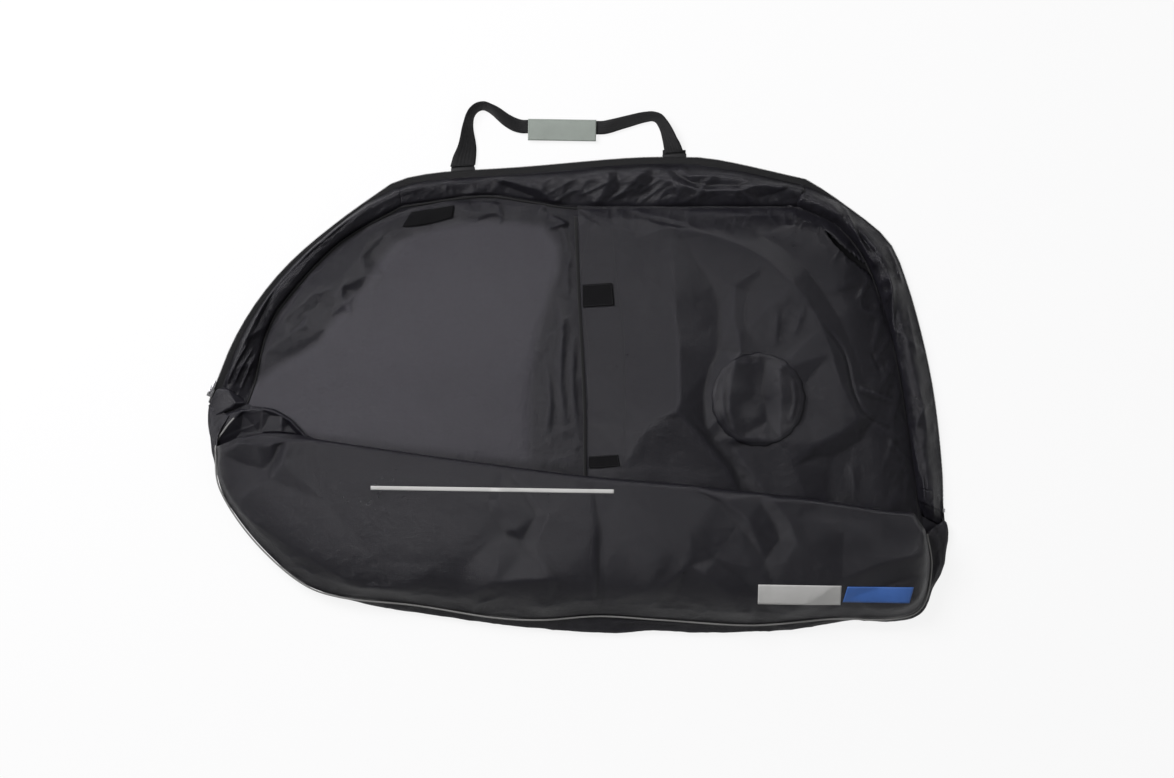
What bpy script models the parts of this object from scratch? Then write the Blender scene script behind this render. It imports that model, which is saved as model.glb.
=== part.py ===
"""Soft travel bag for a bicycle, lying on its back with its front panel opened and tucked down.

Metres, +Z up. +X runs along the bag and +Y towards the carry strap. The origin is on the
floor under the middle of the bag and its strap loop.
"""
import math

import bmesh
import bpy
import numpy as np
from mathutils import Matrix, Vector
from mathutils.bvhtree import BVHTree

# Whole bag
BAG_LENGTH = 1.474
BAG_HEIGHT = 0.946
BODY_SET_BACK = 0.0570
BODY_SET_RIGHT = 0.0026
GAP = 0.0003

# Cloth and padding
CLOTH = 0.0014
LINING = 0.0010
BACK_FOAM = 0.0050
FRONT_FOAM = 0.0030
PAD_INSET = 0.0060
BINDING_RADIUS = 0.0018
BINDING_INSET = 0.0040

# Gusset, collapsed round the edge
GUSSET_SEAM_GAP = 0.0020
GUSSET_SEAM_LIFT = 0.0030
GUSSET_LEFT_RISE = 0.0420
GUSSET_TOP_RISE = 0.0300
GUSSET_RIGHT_RISE = 0.0380
GUSSET_END_GAP = 0.0020
GUSSET_TAPE_GAP = 0.0015
BASE_BULGE_LIFT = 0.0120

# Zip on the gusset
TAPE_WIDTH = 0.0140
TAPE_THICK = 0.0008
TAPE_LIFT = 0.0075
COIL_RADIUS = 0.0016
COIL_CLEARANCE = 0.0006
STRAIGHT_START = 0.1200
SLIDER_START = 0.0120
SLIDER_LENGTH = 0.0160
SLIDER_PLATE = 0.0014
SLIDER_WEB = 0.0024
SLIDER_CHANNEL = 0.0046
SLIDER_CLEARANCE = 0.0005
PULL_LENGTH = 0.0260
PULL_WIDTH = 0.0070
PULL_THICK = 0.0015
PULL_NECK = 0.0034
PULL_REAR = 0.0005
LUG_THICK = 0.0012
LUG_LENGTH = 0.0040
STOP_LENGTH = 0.0080
STOP_WIDTH = 0.0060
STOP_THICK = 0.0040

# Wheel pocket
POCKET_SEAM_LIFT = 0.0030
POCKET_HEIGHT = 0.0360
POCKET_SHOULDER = 0.0700
TENT_HEIGHT = 0.0300
TENT_RADIUS = 0.3320
HEM_WIDTH = 0.0060
HEM_THICK = 0.0026
HEM_GAP = 0.0008
FACING_WIDTH = 0.0700
SEAM_TAPE_WIDTH = 0.0050
GUARD_RADIUS = 0.0940
GUARD_PLATE_RADIUS = 0.0860
GUARD_PLATE = 0.0016
LAYER_CLEARANCE = 0.0012

# Closing tabs of the pocket
TAB_LENGTH = 0.0600
TAB_WIDTH = 0.0440
LOWER_TAB_WIDTH = 0.0220
TAB_THICK = 0.0022
TAB_SET_BACK = 0.0032

# Front panel, folded over and tucked under itself
FRONT_SEAM_LIFT = 0.0300
TUCK_LIFT = 0.0620
FOLD_RADIUS = 0.0090
TUCK_RADIUS = 0.0035
PIPING_RADIUS = 0.0018
TUCK_END = 0.0180
PAD_CLEARANCE = 0.0006
FRONT_TAPE_WIDTH = 0.0070
STRIP_THICK = 0.0004
STRIP_LENGTH = 0.4800
STRIP_WIDTH = 0.0080
BAR_LENGTH = 0.1640
BAR_WIDTH = 0.0400
BLUE_BAR_LENGTH = 0.1320
BLUE_BAR_WIDTH = 0.0320
BAR_GAP = 0.0080

# Carry strap and its grip
STRAP_WIDTH = 0.0480
STRAP_THICK = 0.0036
STRAP_FOLDED_WIDTH = 0.0250
STRAP_RISE = 0.1165
STRAP_STANDOFF = 0.0100
STRAP_LIFT = 0.0006
ANCHOR_LENGTH = 0.0420
ANCHOR_THICK = 0.0018
ANCHOR_LIFT = 0.0015
ANCHOR_GAP = 0.0036
GRIP_LENGTH = 0.1360
GRIP_WIDTH = 0.0410
GRIP_LEAF = 0.0016
GRIP_CLEARANCE = 0.0009
HOOK_STRIP_WIDTH = 0.0080
HOOK_STRIP_THICK = 0.0008

# Curves in plan, as shares of the bag's length and height from the middle of its body
BACK_LEFT_SHARES = [(-0.457, -0.036), (-0.442, 0.021), (-0.423, 0.138), (-0.392, 0.216),
                    (-0.324, 0.326), (-0.240, 0.402)]
BACK_TOP_SHARES = [(-0.240, 0.402), (-0.132, 0.424), (-0.064, 0.412), (0.000, 0.399),
                   (0.153, 0.397), (0.296, 0.400)]
BACK_RIGHT_SHARES = [(0.296, 0.400), (0.353, 0.357), (0.392, 0.281), (0.419, 0.159),
                     (0.438, 0.032), (0.461, -0.222)]
BACK_BASE_SHARES = [(0.461, -0.222), (0.468, -0.338), (0.456, -0.429), (0.411, -0.459),
                    (0.303, -0.470), (0.153, -0.476), (0.004, -0.472), (-0.132, -0.455),
                    (-0.240, -0.430), (-0.322, -0.400), (-0.389, -0.335), (-0.444, -0.239),
                    (-0.469, -0.142), (-0.472, -0.074), (-0.457, -0.036)]
EDGE_LEFT_SHARES = [(-0.501, -0.015), (-0.490, 0.036), (-0.467, 0.116), (-0.434, 0.201),
                    (-0.388, 0.285), (-0.323, 0.370), (-0.246, 0.455)]
EDGE_TOP_SHARES = [(-0.246, 0.455), (-0.186, 0.471), (-0.077, 0.482), (0.058, 0.500),
                   (0.129, 0.503), (0.190, 0.497), (0.312, 0.455)]
EDGE_RIGHT_SHARES = [(0.312, 0.455), (0.366, 0.397), (0.419, 0.328), (0.444, 0.243),
                     (0.467, 0.116), (0.483, -0.011), (0.493, -0.159), (0.494, -0.247)]
EDGE_BASE_SHARES = [(0.494, -0.262), (0.501, -0.283), (0.494, -0.362), (0.482, -0.397),
                    (0.464, -0.459), (0.426, -0.477), (0.370, -0.473), (0.286, -0.493),
                    (0.178, -0.499), (0.096, -0.495), (0.042, -0.499), (-0.066, -0.488),
                    (-0.175, -0.467), (-0.284, -0.440), (-0.365, -0.400), (-0.419, -0.330),
                    (-0.474, -0.224), (-0.491, -0.137), (-0.499, -0.064), (-0.500, -0.020)]
FRONT_SEAM_SHARES = [(-0.488, -0.108), (-0.482, -0.195), (-0.440, -0.296), (-0.379, -0.385),
                     (-0.322, -0.421), (-0.221, -0.438), (-0.119, -0.463), (-0.050, -0.469),
                     (0.028, -0.461), (0.113, -0.469), (0.235, -0.480), (0.343, -0.467),
                     (0.425, -0.467), (0.463, -0.442), (0.475, -0.362), (0.469, -0.292)]
TIP_LIP_SHARES = [(-0.488, -0.108), (-0.484, -0.074), (-0.472, -0.042)]
FOLD_SHARES = [(-0.457, -0.089), (-0.427, -0.080), (-0.389, -0.080), (-0.328, -0.097),
               (-0.157, -0.135), (0.004, -0.167), (0.142, -0.186), (0.303, -0.214),
               (0.399, -0.237), (0.449, -0.245)]
POCKET_MOUTH_SHARES = [(0.015, -0.428), (0.012, -0.159), (0.011, -0.011), (0.004, 0.201),
                       (-0.001, 0.377)]
POCKET_RIGHT_SHARES = [(0.434, -0.421), (0.452, -0.338), (0.447, -0.222), (0.424, 0.027),
                       (0.406, 0.154), (0.379, 0.268), (0.343, 0.342), (0.293, 0.379)]
TENT_TOP_SHARE = (0.129, -0.006)
GUARD_CENTRE_SHARE = (0.242, -0.008)
LINING_PATCH_SHARES = [(-0.238, 0.356), (-0.226, 0.387), (-0.168, 0.401), (-0.170, 0.376),
                       (-0.185, 0.357)]
STRIP_CENTRE_SHARE = (-0.115, -0.196)
BAR_END_SHARE = (0.4470, -0.4160)
BAR_LEAN_SHARE = 0.25
BAND_SHARES = (-0.5, -0.25, 0.0, 0.25, 0.5)
STRIP_SLOPE_SHARE = -0.014

# Profiles: (place across, height) as shares of what they cross and of their rise
GUSSET_PROFILE_SHARES = [(0.0, 0.0), (0.10, 0.50), (0.24, 0.92), (0.40, 1.0), (0.62, 0.72),
                         (0.84, 0.30), (1.0, 0.12)]
BASE_FLOOR_SHARE = 0.55
BASE_END_SHARE = 0.985
BASE_SIDE_SHARE = 0.50
FRONT_TOP_SHARES = [0.0, 0.06, 0.15, 0.28, 0.45, 0.65, 0.83, 1.0]
TUCK_SHARE = 0.60
LEFT_LIFT_SHARE = 0.60
PAD_SHARES = [0.04, 0.15, 0.28, 0.45, 0.65, 0.83, 0.97]
STRAP_FOOT_SHARES = (-0.1567, 0.1300)
STRAP_ROUTE_SHARES = [(0.0, 0.0), (0.027, 0.31), (0.037, 0.66), (0.060, 0.90), (0.109, 1.0),
                      (0.164, 0.91), (0.225, 0.72), (0.282, 0.616), (0.360, 0.594),
                      (0.600, 0.525), (0.678, 0.503), (0.782, 0.57), (0.873, 0.63),
                      (0.930, 0.61), (0.964, 0.43), (0.984, 0.20), (1.0, 0.0)]
GRIP_PLACE_SHARES = (0.360, 0.600)
STRAP_TURN_SHARES = [(0.0, 0.0), (0.08, 0.3), (0.16, 0.6), (0.26, 0.6), (0.34, 0.3), (0.39, 0.0),
                     (0.67, 0.0), (0.72, 0.3), (0.85, 0.55), (0.96, 0.3), (1.0, 0.0)]
STRAP_NARROWING_SHARES = [(0.0, 0.0), (0.12, 0.8), (0.18, 1.0), (0.9, 1.0), (1.0, 0.55)]
TAB_PLACE_SHARES = (0.209, -0.1400)

# Counts, and the powers that shape the raised cloth
SPLINE_STEPS = 12
BACK_STATIONS = (14, 12, 14, 30)
GUSSET_STATIONS = 22
BASE_STATIONS = 38
ZIP_STATIONS = 60
FRONT_STATIONS = 26
POCKET_STATIONS = 18
POCKET_COLUMNS = 16
STRAP_STATIONS = 46
ROUND_STEPS = 4
GUARD_SEGMENTS = 28
GUARD_CUT_COUNT = 2
TAB_ROW_COUNT = 3
TAB_COLUMN_COUNT = 4
BAND_STATIONS = 12
PAD_TRIM_COUNT = 2
POCKET_EASE_POWER = 3
TENT_EASE_POWER = 1.5
FRONT_EASE_POWER = 4

QUARTER_TURN = math.pi / 2

BACK_TOP = CLOTH
FOAM_TOP = BACK_TOP + GAP + BACK_FOAM
LINING_TOP = FOAM_TOP + GAP + LINING


def clear_scene():
    """Takes every object out of the open scene."""
    for thing in list(bpy.data.objects):
        bpy.data.objects.remove(thing, do_unlink=True)


def finish(name, colour, roughness, metallic=0.0):
    """A Principled material."""
    made = bpy.data.materials.new(name)
    made.use_nodes = True
    shader = made.node_tree.nodes["Principled BSDF"]
    shader.inputs["Base Color"].default_value = (*colour, 1.0)
    shader.inputs["Roughness"].default_value = roughness
    shader.inputs["Metallic"].default_value = metallic
    made.diffuse_color = (*colour, 1.0)
    return made


# Plan curves

def place(share):
    """A point in plan from shares of the bag's length and height."""
    return np.array([share[0] * BAG_LENGTH + BODY_SET_RIGHT, share[1] * BAG_HEIGHT - BODY_SET_BACK])


def smooth(points):
    """A smooth curve through the points, closely sampled."""
    p = np.array(points, float)
    p = np.vstack([2 * p[0] - p[1], p, 2 * p[-1] - p[-2]])
    made = []
    for a, b, c, d in zip(p[:-3], p[1:-2], p[2:-1], p[3:]):
        for t in np.linspace(0, 1, SPLINE_STEPS, endpoint=False):
            bend = (2 * a - 5 * b + 4 * c - d) * t ** 2 + (3 * b - a - 3 * c + d) * t ** 3
            made.append(b + ((c - a) * t + bend) / 2)
    made.append(p[-2])
    return np.array(made)


def lengths(line):
    """The length along a line at each of its points."""
    steps = np.linalg.norm(np.diff(line, axis=0), axis=1)
    return np.concatenate([[0.0], np.cumsum(steps)])


def at(line, shares):
    """Points of a line at shares of its length."""
    along = lengths(line)
    where = np.array(shares) * along[-1]
    return np.stack([np.interp(where, along, line[:, k]) for k in range(line.shape[1])], axis=1)


def spaced(line, spans, start=0.0, end=1.0):
    """Evenly spaced points of a line, spans + 1 of them."""
    return at(line, np.linspace(start, end, spans + 1))


def curve(shares):
    """The smooth plan curve through shares of the bag."""
    return smooth([place(s) for s in shares])


def outward(line):
    """Unit vectors square to a line in plan, on its left side."""
    d = np.gradient(line, axis=0)
    d /= np.linalg.norm(d, axis=1)[:, None]
    return np.stack([-d[:, 1], d[:, 0]], axis=1)


def back_outline():
    """The closed seam line of the back panel, anticlockwise from the top right."""
    pieces = [BACK_LEFT_SHARES, BACK_TOP_SHARES, BACK_RIGHT_SHARES, BACK_BASE_SHARES]
    rows = [spaced(curve(s), n)[:-1] for s, n in zip(pieces, BACK_STATIONS)]
    return np.vstack(rows)[::-1]


def inset(outline, distance):
    """A closed anticlockwise outline, drawn in by a distance."""
    d = np.roll(outline, -1, axis=0) - np.roll(outline, 1, axis=0)
    d /= np.linalg.norm(d, axis=1)[:, None]
    return outline + np.stack([-d[:, 1], d[:, 0]], axis=1) * distance


# Solids

def thing_from(name, bm, material):
    """A smooth-shaded object from a bmesh."""
    mesh = bpy.data.meshes.new(name)
    bm.to_mesh(mesh)
    bm.free()
    mesh.materials.append(material)
    mesh.shade_smooth()
    mesh.set_sharp_from_angle(angle=QUARTER_TURN / 2)
    made = bpy.data.objects.new(name, mesh)
    bpy.context.scene.collection.objects.link(made)
    return made


def sheet(name, rows, thickness, material):
    """Cloth of one thickness whose middle runs through rows of points."""
    bm = bmesh.new()
    bmesh.ops.create_grid(bm, x_segments=len(rows[0]) - 1, y_segments=len(rows) - 1, size=BAG_LENGTH)
    for vertex, point in zip(bm.verts, [p for row in rows for p in row]):
        vertex.co = Vector(point)
    made = thing_from(name, bm, material)
    wall = made.modifiers.new("cloth", "SOLIDIFY")
    wall.thickness = thickness
    wall.offset = 0
    return made


def plate(name, outline, low, high, material):
    """A flat plate with an anticlockwise outline in plan, between two heights."""
    bm = bmesh.new()
    corners = [bm.verts.new((x, y, low)) for x, y in outline]
    face = bm.faces.new(corners)
    raised = bmesh.ops.extrude_face_region(bm, geom=[face])["geom"]
    top = [v for v in raised if isinstance(v, bmesh.types.BMVert)]
    bmesh.ops.translate(bm, verts=top, vec=(0, 0, high - low))
    bmesh.ops.recalc_face_normals(bm, faces=bm.faces)
    return thing_from(name, bm, material)


def tube(name, points, radius, material, closed=False, sides=1):
    """A round cord along a line of points."""
    data = bpy.data.curves.new(name, "CURVE")
    data.dimensions = "3D"
    data.bevel_depth = radius
    data.bevel_resolution = sides
    data.use_fill_caps = not closed
    line = data.splines.new("POLY")
    line.points.add(len(points) - 1)
    for point, co in zip(line.points, points):
        point.co = Vector(co).to_4d()
    line.use_cyclic_u = closed
    data.materials.append(material)
    made = bpy.data.objects.new(name, data)
    bpy.context.scene.collection.objects.link(made)
    return made


def raised(line, height):
    """A plan line lifted to a height, or to one height for each point."""
    return np.column_stack([line, np.broadcast_to(height, len(line))])


def prism(name, profile, length, frame, material):
    """A profile in the frame's across and up directions, extruded along its first direction."""
    along, across, up, centre = frame
    bm = bmesh.new()
    start = centre - along * (length / 2)
    face = bm.faces.new([bm.verts.new(start + across * y + up * z) for y, z in profile])
    grown = bmesh.ops.extrude_face_region(bm, geom=[face])["geom"]
    far = [v for v in grown if isinstance(v, bmesh.types.BMVert)]
    bmesh.ops.translate(bm, verts=far, vec=along * length)
    bmesh.ops.recalc_face_normals(bm, faces=bm.faces)
    return thing_from(name, bm, material)


def box_profile(low_y, high_y, low_z, high_z):
    """The four corners of an upright rectangle."""
    return [(low_y, low_z), (high_y, low_z), (high_y, high_z), (low_y, high_z)]


def carry(pivot, pieces):
    """Hangs pieces on an empty at a joint's axis, where they are."""
    for piece in pieces:
        if piece.parent is None:
            piece.parent = pivot
            piece.matrix_parent_inverse = Matrix.Translation(pivot.location).inverted()


def pivot_at(name, point):
    """An empty on a joint's axis."""
    made = bpy.data.objects.new(name, None)
    made.location = Vector(point)
    bpy.context.scene.collection.objects.link(made)
    return made


# Back of the bag

def build_back(looks):
    """The back panel, its foam, the lining over it and the binding round its seam."""
    outline = back_outline()
    plate("back_panel", outline, 0, BACK_TOP, looks["shell"])
    plate("back_foam_pad", inset(outline, PAD_INSET), BACK_TOP + GAP, FOAM_TOP, looks["foam"])
    plate("back_lining", outline, FOAM_TOP + GAP, LINING_TOP, looks["lining"])
    line = inset(outline, BINDING_INSET)
    height = LINING_TOP + GAP + BINDING_RADIUS
    tube("back_seam_binding", raised(line, height), BINDING_RADIUS, looks["tape"], closed=True)


def build_lining_patch(looks):
    """The dark webbing patch sewn to the lining near the top."""
    outline = inset(np.array([place(s) for s in LINING_PATCH_SHARES])[::-1], GAP)
    low = LINING_TOP + GAP
    plate("lining_patch", outline, low, low + CLOTH, looks["dark"])


# Gusset and zip

def zip_line():
    """The open edge of the gusset in plan, straight where the slider runs."""
    pieces = [curve(s) for s in (EDGE_LEFT_SHARES, EDGE_TOP_SHARES, EDGE_RIGHT_SHARES)]
    line = np.vstack([pieces[0], pieces[1][1:], pieces[2][1:]])
    line = spaced(line, ZIP_STATIONS * SPLINE_STEPS)
    beyond = lengths(line) > STRAIGHT_START
    return np.vstack([line[0], line[beyond]])


def zip_pieces():
    """The shares of the zip line at its start, its two corners and its end."""
    pieces = [lengths(curve(s))[-1] for s in (EDGE_LEFT_SHARES, EDGE_TOP_SHARES, EDGE_RIGHT_SHARES)]
    return np.concatenate([[0], np.cumsum(pieces)]) / sum(pieces)


def tape_edge():
    """The inner edge of the zip tape, where it is sewn to the gusset."""
    return towards_inside(spaced(zip_line(), ZIP_STATIONS), COIL_RADIUS + COIL_CLEARANCE + TAPE_WIDTH)


def gusset_rows(inner, outer, rise):
    """Rows of a gusset that bulges up between its back seam and its zip tape."""
    rows = []
    for a, b in zip(inner, outer):
        across = [a + (b - a) * share for share, _ in GUSSET_PROFILE_SHARES]
        heights = [max(GUSSET_SEAM_LIFT + rise * h, TAPE_LIFT * share)
                   for share, h in GUSSET_PROFILE_SHARES]
        rows.append([(*p, z) for p, z in zip(across, heights)])
    return rows


def build_gusset(looks):
    """The three gusset lengths that carry the zip, from the left tip to the right corner."""
    line = towards_inside(tape_edge(), GUSSET_TAPE_GAP)
    ends = zip_pieces()
    pieces = (("gusset_left", BACK_LEFT_SHARES, GUSSET_LEFT_RISE),
              ("gusset_top", BACK_TOP_SHARES, GUSSET_TOP_RISE),
              ("gusset_right", BACK_RIGHT_SHARES, GUSSET_RIGHT_RISE))
    for index, (name, shares, rise) in enumerate(pieces):
        inner_line = curve(shares)
        total = lengths(line)[-1]
        trim = GUSSET_END_GAP / total
        inner_trim = GUSSET_END_GAP / lengths(inner_line)[-1]
        outer = spaced(line, GUSSET_STATIONS, ends[index] + trim, ends[index + 1] - trim)
        inner = spaced(inner_line, GUSSET_STATIONS, inner_trim, 1 - inner_trim)
        inner = inner + outward(inner) * GUSSET_SEAM_GAP
        sheet(name, gusset_rows(inner, outer, rise), CLOTH, looks["shell"])


def towards_inside(line, distance):
    """A clockwise stretch of the bag's edge, moved towards its inside."""
    return line - outward(line) * distance


def build_base_gusset(looks):
    """The gusset round the base, from the right corner to the left tip."""
    inner = spaced(curve(BACK_BASE_SHARES), BASE_STATIONS, 0.0, BASE_END_SHARE)
    inner = inner + outward(inner) * GUSSET_SEAM_GAP
    edge = spaced(curve(EDGE_BASE_SHARES), BASE_STATIONS)
    lip = spaced(curve(FRONT_SEAM_SHARES[::-1] + TIP_LIP_SHARES[1:]), BASE_STATIONS)
    top = FRONT_SEAM_LIFT - PIPING_RADIUS * 2 - CLOTH
    rows = []
    for a, b, c in zip(inner, edge, lip):
        middle = a + (b - a) * BASE_FLOOR_SHARE
        side = b + (c - b) * BASE_SIDE_SHARE
        side_height = BASE_BULGE_LIFT + (top - BASE_BULGE_LIFT) * BASE_SIDE_SHARE
        rows.append([(*a, GUSSET_SEAM_LIFT), (*middle, GUSSET_SEAM_LIFT), (*b, BASE_BULGE_LIFT),
                     (*side, side_height), (*c, top)])
    sheet("gusset_base", rows, CLOTH, looks["shell"])


def build_zip(looks):
    """The gusset's half of the zip: tape, coil and the stop at its far end."""
    line = spaced(zip_line(), ZIP_STATIONS)
    near = towards_inside(line, COIL_RADIUS + COIL_CLEARANCE)
    rows = [[(*a, TAPE_LIFT), (*b, TAPE_LIFT)] for a, b in zip(near, tape_edge())]
    sheet("gusset_zip_tape", rows, TAPE_THICK, looks["tape"])
    stop_share = 1 - STOP_LENGTH / lengths(line)[-1]
    coil = np.vstack([line[:-1], at(line, [stop_share])])
    tube("gusset_zip_coil", raised(coil, TAPE_LIFT), COIL_RADIUS, looks["coil"], sides=0)
    tail = at(line, [stop_share, 1.0])
    along = Vector((*(tail[1] - tail[0]), 0)).normalized()
    across = Vector((-along.y, along.x, 0))
    middle = Vector((*((tail[0] + tail[1]) / 2), TAPE_LIFT))
    frame = (along, across, Vector((0, 0, 1)), middle)
    reach = STOP_WIDTH - COIL_RADIUS
    profile = box_profile(-COIL_RADIUS, reach, -STOP_THICK / 2, STOP_THICK / 2)
    prism("zip_end_stop", profile, STOP_LENGTH - 2 * GAP, frame, looks["metal"])


def slider_frame():
    """The slider's directions along, across and up, and its middle on the coil's axis."""
    line = spaced(zip_line(), ZIP_STATIONS)
    along = Vector((*(line[1] - line[0]), 0)).normalized()
    across = Vector((-along.y, along.x, 0))
    start = Vector((*line[0], TAPE_LIFT)) + along * (SLIDER_START + SLIDER_LENGTH / 2)
    return along, across, Vector((0, 0, 1)), start


def build_slider(looks):
    """The slider on the coil, with its lugs, and the pull that turns between them."""
    along, across, up, coil = slider_frame()
    half = COIL_RADIUS + SLIDER_CLEARANCE
    web_near = COIL_RADIUS + SLIDER_CLEARANCE
    web_far = web_near + SLIDER_WEB
    near = web_near - SLIDER_CHANNEL
    far = web_far + SLIDER_CHANNEL
    top = half + SLIDER_PLATE
    middle = (web_near + web_far) / 2
    gap = PULL_NECK / 2 + SLIDER_CLEARANCE
    lug = gap + LUG_THICK
    lug_top = top + PULL_THICK + 2 * SLIDER_CLEARANCE + SLIDER_PLATE
    profile = [(near, -top), (far, -top), (far, -half), (web_far, -half), (web_far, half),
               (far, half), (far, top), (near, top), (near, half), (web_near, half),
               (web_near, -half), (near, -half)]
    body = prism("zip_slider", profile, SLIDER_LENGTH, (along, across, up, coil), looks["metal"])
    for side in (-1, 1):
        low, high = sorted((side * gap, side * lug))
        block = box_profile(middle + low, middle + high, half + SLIDER_PLATE / 2, lug_top)
        frame = (along, across, up, coil)
        part = prism(f"lug_cutter_{side}", block, LUG_LENGTH, frame, looks["metal"])
        unite(body, part)
    pin = coil + across * middle + up * (top + SLIDER_CLEARANCE + PULL_THICK / 2)
    reach = math.hypot(LUG_LENGTH / 2, lug_top - top - SLIDER_CLEARANCE - PULL_THICK / 2)
    pull = build_pull(looks, (along, across, up, pin), reach + SLIDER_CLEARANCE)
    slider_pivot = pivot_at("zip_slider_place", coil)
    pull_pivot = pivot_at("zip_pull_axis", pin)
    carry(slider_pivot, [body])
    carry(pull_pivot, [pull])


def unite(body, part):
    """Joins a hidden block to a body with a Boolean."""
    part.hide_render = True
    part.display_type = "WIRE"
    join = body.modifiers.new("join", "BOOLEAN")
    join.operation = "UNION"
    join.object = part


def build_pull(looks, frame, shoulder):
    """A flat pull lying along the coil, with a neck at its pin that ends at its shoulder."""
    along, across, up, pin = frame
    neck, wide = PULL_NECK / 2, PULL_WIDTH / 2
    plan = [(-PULL_REAR, -neck), (shoulder, -neck), (shoulder + neck, -wide),
            (PULL_LENGTH - neck, -wide), (PULL_LENGTH, -neck), (PULL_LENGTH, neck),
            (PULL_LENGTH - neck, wide), (shoulder + neck, wide), (shoulder, neck),
            (-PULL_REAR, neck)]
    bm = bmesh.new()
    low = pin - up * (PULL_THICK / 2)
    face = bm.faces.new([bm.verts.new(low + along * x + across * y) for x, y in plan])
    grown = bmesh.ops.extrude_face_region(bm, geom=[face])["geom"]
    top = [v for v in grown if isinstance(v, bmesh.types.BMVert)]
    bmesh.ops.translate(bm, verts=top, vec=up * PULL_THICK)
    bmesh.ops.recalc_face_normals(bm, faces=bm.faces)
    return thing_from("zip_pull", bm, looks["metal"])


# Wheel pocket

def pocket_grid(columns, start=0.0, end=1.0):
    """Plan points of the pocket from its mouth to its right seam, one row for each height."""
    mouth = spaced(curve(POCKET_MOUTH_SHARES), POCKET_STATIONS)
    right = spaced(curve(POCKET_RIGHT_SHARES), POCKET_STATIONS)
    steps = np.linspace(start, end, columns + 1)
    return [[a + (b - a) * s for s in steps] for a, b in zip(mouth, right)]


def pocket_seam():
    """The pocket's sewn edge in plan, from the mouth's foot round to the mouth's top."""
    mouth = curve(POCKET_MOUTH_SHARES)
    right = curve(POCKET_RIGHT_SHARES)
    return np.vstack([mouth[:1], right, mouth[-1:]])


def seam_distance(point, seam):
    """How far a plan point is from the pocket's sewn edge."""
    a, d = seam[:-1], np.diff(seam, axis=0)
    t = np.clip(((point - a) * d).sum(1) / (d * d).sum(1), 0, 1)
    return float(np.linalg.norm(a + d * t[:, None] - point, axis=1).min())


def pocket_height(point, seam):
    """The height of the pocket cloth's middle: a raised field with a low tent at its hub."""
    edge = min(seam_distance(point, seam) / POCKET_SHOULDER, 1)
    shoulder = 1 - (1 - edge) ** POCKET_EASE_POWER
    apart = np.linalg.norm(point - place(TENT_TOP_SHARE)) / TENT_RADIUS
    tent = max(0.0, 1 - apart) ** TENT_EASE_POWER * shoulder
    base = LINING_TOP + POCKET_SEAM_LIFT
    return base + POCKET_HEIGHT * shoulder + TENT_HEIGHT * tent


def build_pocket(looks):
    """The pocket panel, its hem, the facing behind its mouth and the tape over its seam."""
    seam = pocket_seam()
    rows = [[(*p, pocket_height(p, seam)) for p in row] for row in pocket_grid(POCKET_COLUMNS)]
    sheet("wheel_pocket_panel", rows, CLOTH, looks["shell"])
    width = np.linalg.norm(place(POCKET_RIGHT_SHARES[2]) - place(POCKET_MOUTH_SHARES[1]))
    gap = HEM_GAP / width
    hem = pocket_grid(1, -HEM_WIDTH / width - gap, -gap)
    rows = [[(*p, pocket_height(p, seam)) for p in row] for row in hem]
    sheet("pocket_mouth_hem", rows, HEM_THICK, looks["tape"])
    facing = pocket_grid(2, gap, FACING_WIDTH / width)
    drop = CLOTH + LAYER_CLEARANCE
    rows = [[(*p, pocket_height(p, seam) - drop) for p in row] for row in facing[1:-1]]
    sheet("pocket_mouth_facing", rows, LINING, looks["lining"])
    build_seam_tape(looks, seam)


def build_seam_tape(looks, seam):
    """A narrow tape round the outside of the pocket's seam."""
    line = spaced(seam, ZIP_STATIONS)
    side = outward(line)
    low = LINING_TOP + GAP + TAPE_THICK / 2
    near, far = line - side * (CLOTH + GAP), line - side * (CLOTH + GAP + SEAM_TAPE_WIDTH)
    rows = [[(*a, low), (*b, low)] for a, b in zip(near, far)]
    sheet("pocket_seam_tape", rows, TAPE_THICK, looks["tape"])


def guard_disc(name, radius, offset, thickness, material):
    """A round piece that follows the pocket cloth, above it or below it."""
    seam = pocket_seam()
    centre = place(GUARD_CENTRE_SHARE)
    bm = bmesh.new()
    bmesh.ops.create_circle(bm, cap_ends=True, cap_tris=True, segments=GUARD_SEGMENTS, radius=radius)
    spokes = [e for e in bm.edges if not e.is_boundary]
    bmesh.ops.subdivide_edges(bm, edges=spokes, cuts=GUARD_CUT_COUNT)
    for vertex in bm.verts:
        point = centre + np.array(vertex.co.xy)
        vertex.co = (*point, pocket_height(point, seam) + offset)
    bmesh.ops.triangulate(bm, faces=bm.faces)
    made = thing_from(name, bm, material)
    wall = made.modifiers.new("cloth", "SOLIDIFY")
    wall.thickness = thickness
    wall.offset = 0
    return made


def build_hub_guard(looks):
    """The round patch that guards the wheel's hub, and the stiff plate behind it."""
    over = CLOTH + LAYER_CLEARANCE
    guard_disc("hub_guard_patch", GUARD_RADIUS, over, CLOTH, looks["shell"])
    guard_disc("hub_guard_plate", GUARD_PLATE_RADIUS, -over - GUARD_PLATE / 2, GUARD_PLATE,
               looks["plastic"])


def tab_rows(height_share, length, width):
    """Rows of a tab that lies on the pocket from its mouth, and the middle of its hinge line."""
    seam = pocket_seam()
    mouth = curve(POCKET_MOUTH_SHARES)
    y = place((0, height_share))[1]
    x = float(np.interp(y, mouth[:, 1], mouth[:, 0])) + TAB_SET_BACK
    lift = CLOTH / 2 + TAB_THICK / 2 + LAYER_CLEARANCE
    rows = []
    for down in np.linspace(-width / 2, width / 2, TAB_ROW_COUNT):
        points = [np.array([x + length * s, y + down]) for s in np.linspace(0, 1, TAB_COLUMN_COUNT)]
        rows.append([(*p, pocket_height(p, seam) + lift) for p in points])
    hinge = np.array([x, y])
    return rows, (*hinge, pocket_height(hinge, seam) + lift)


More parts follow.
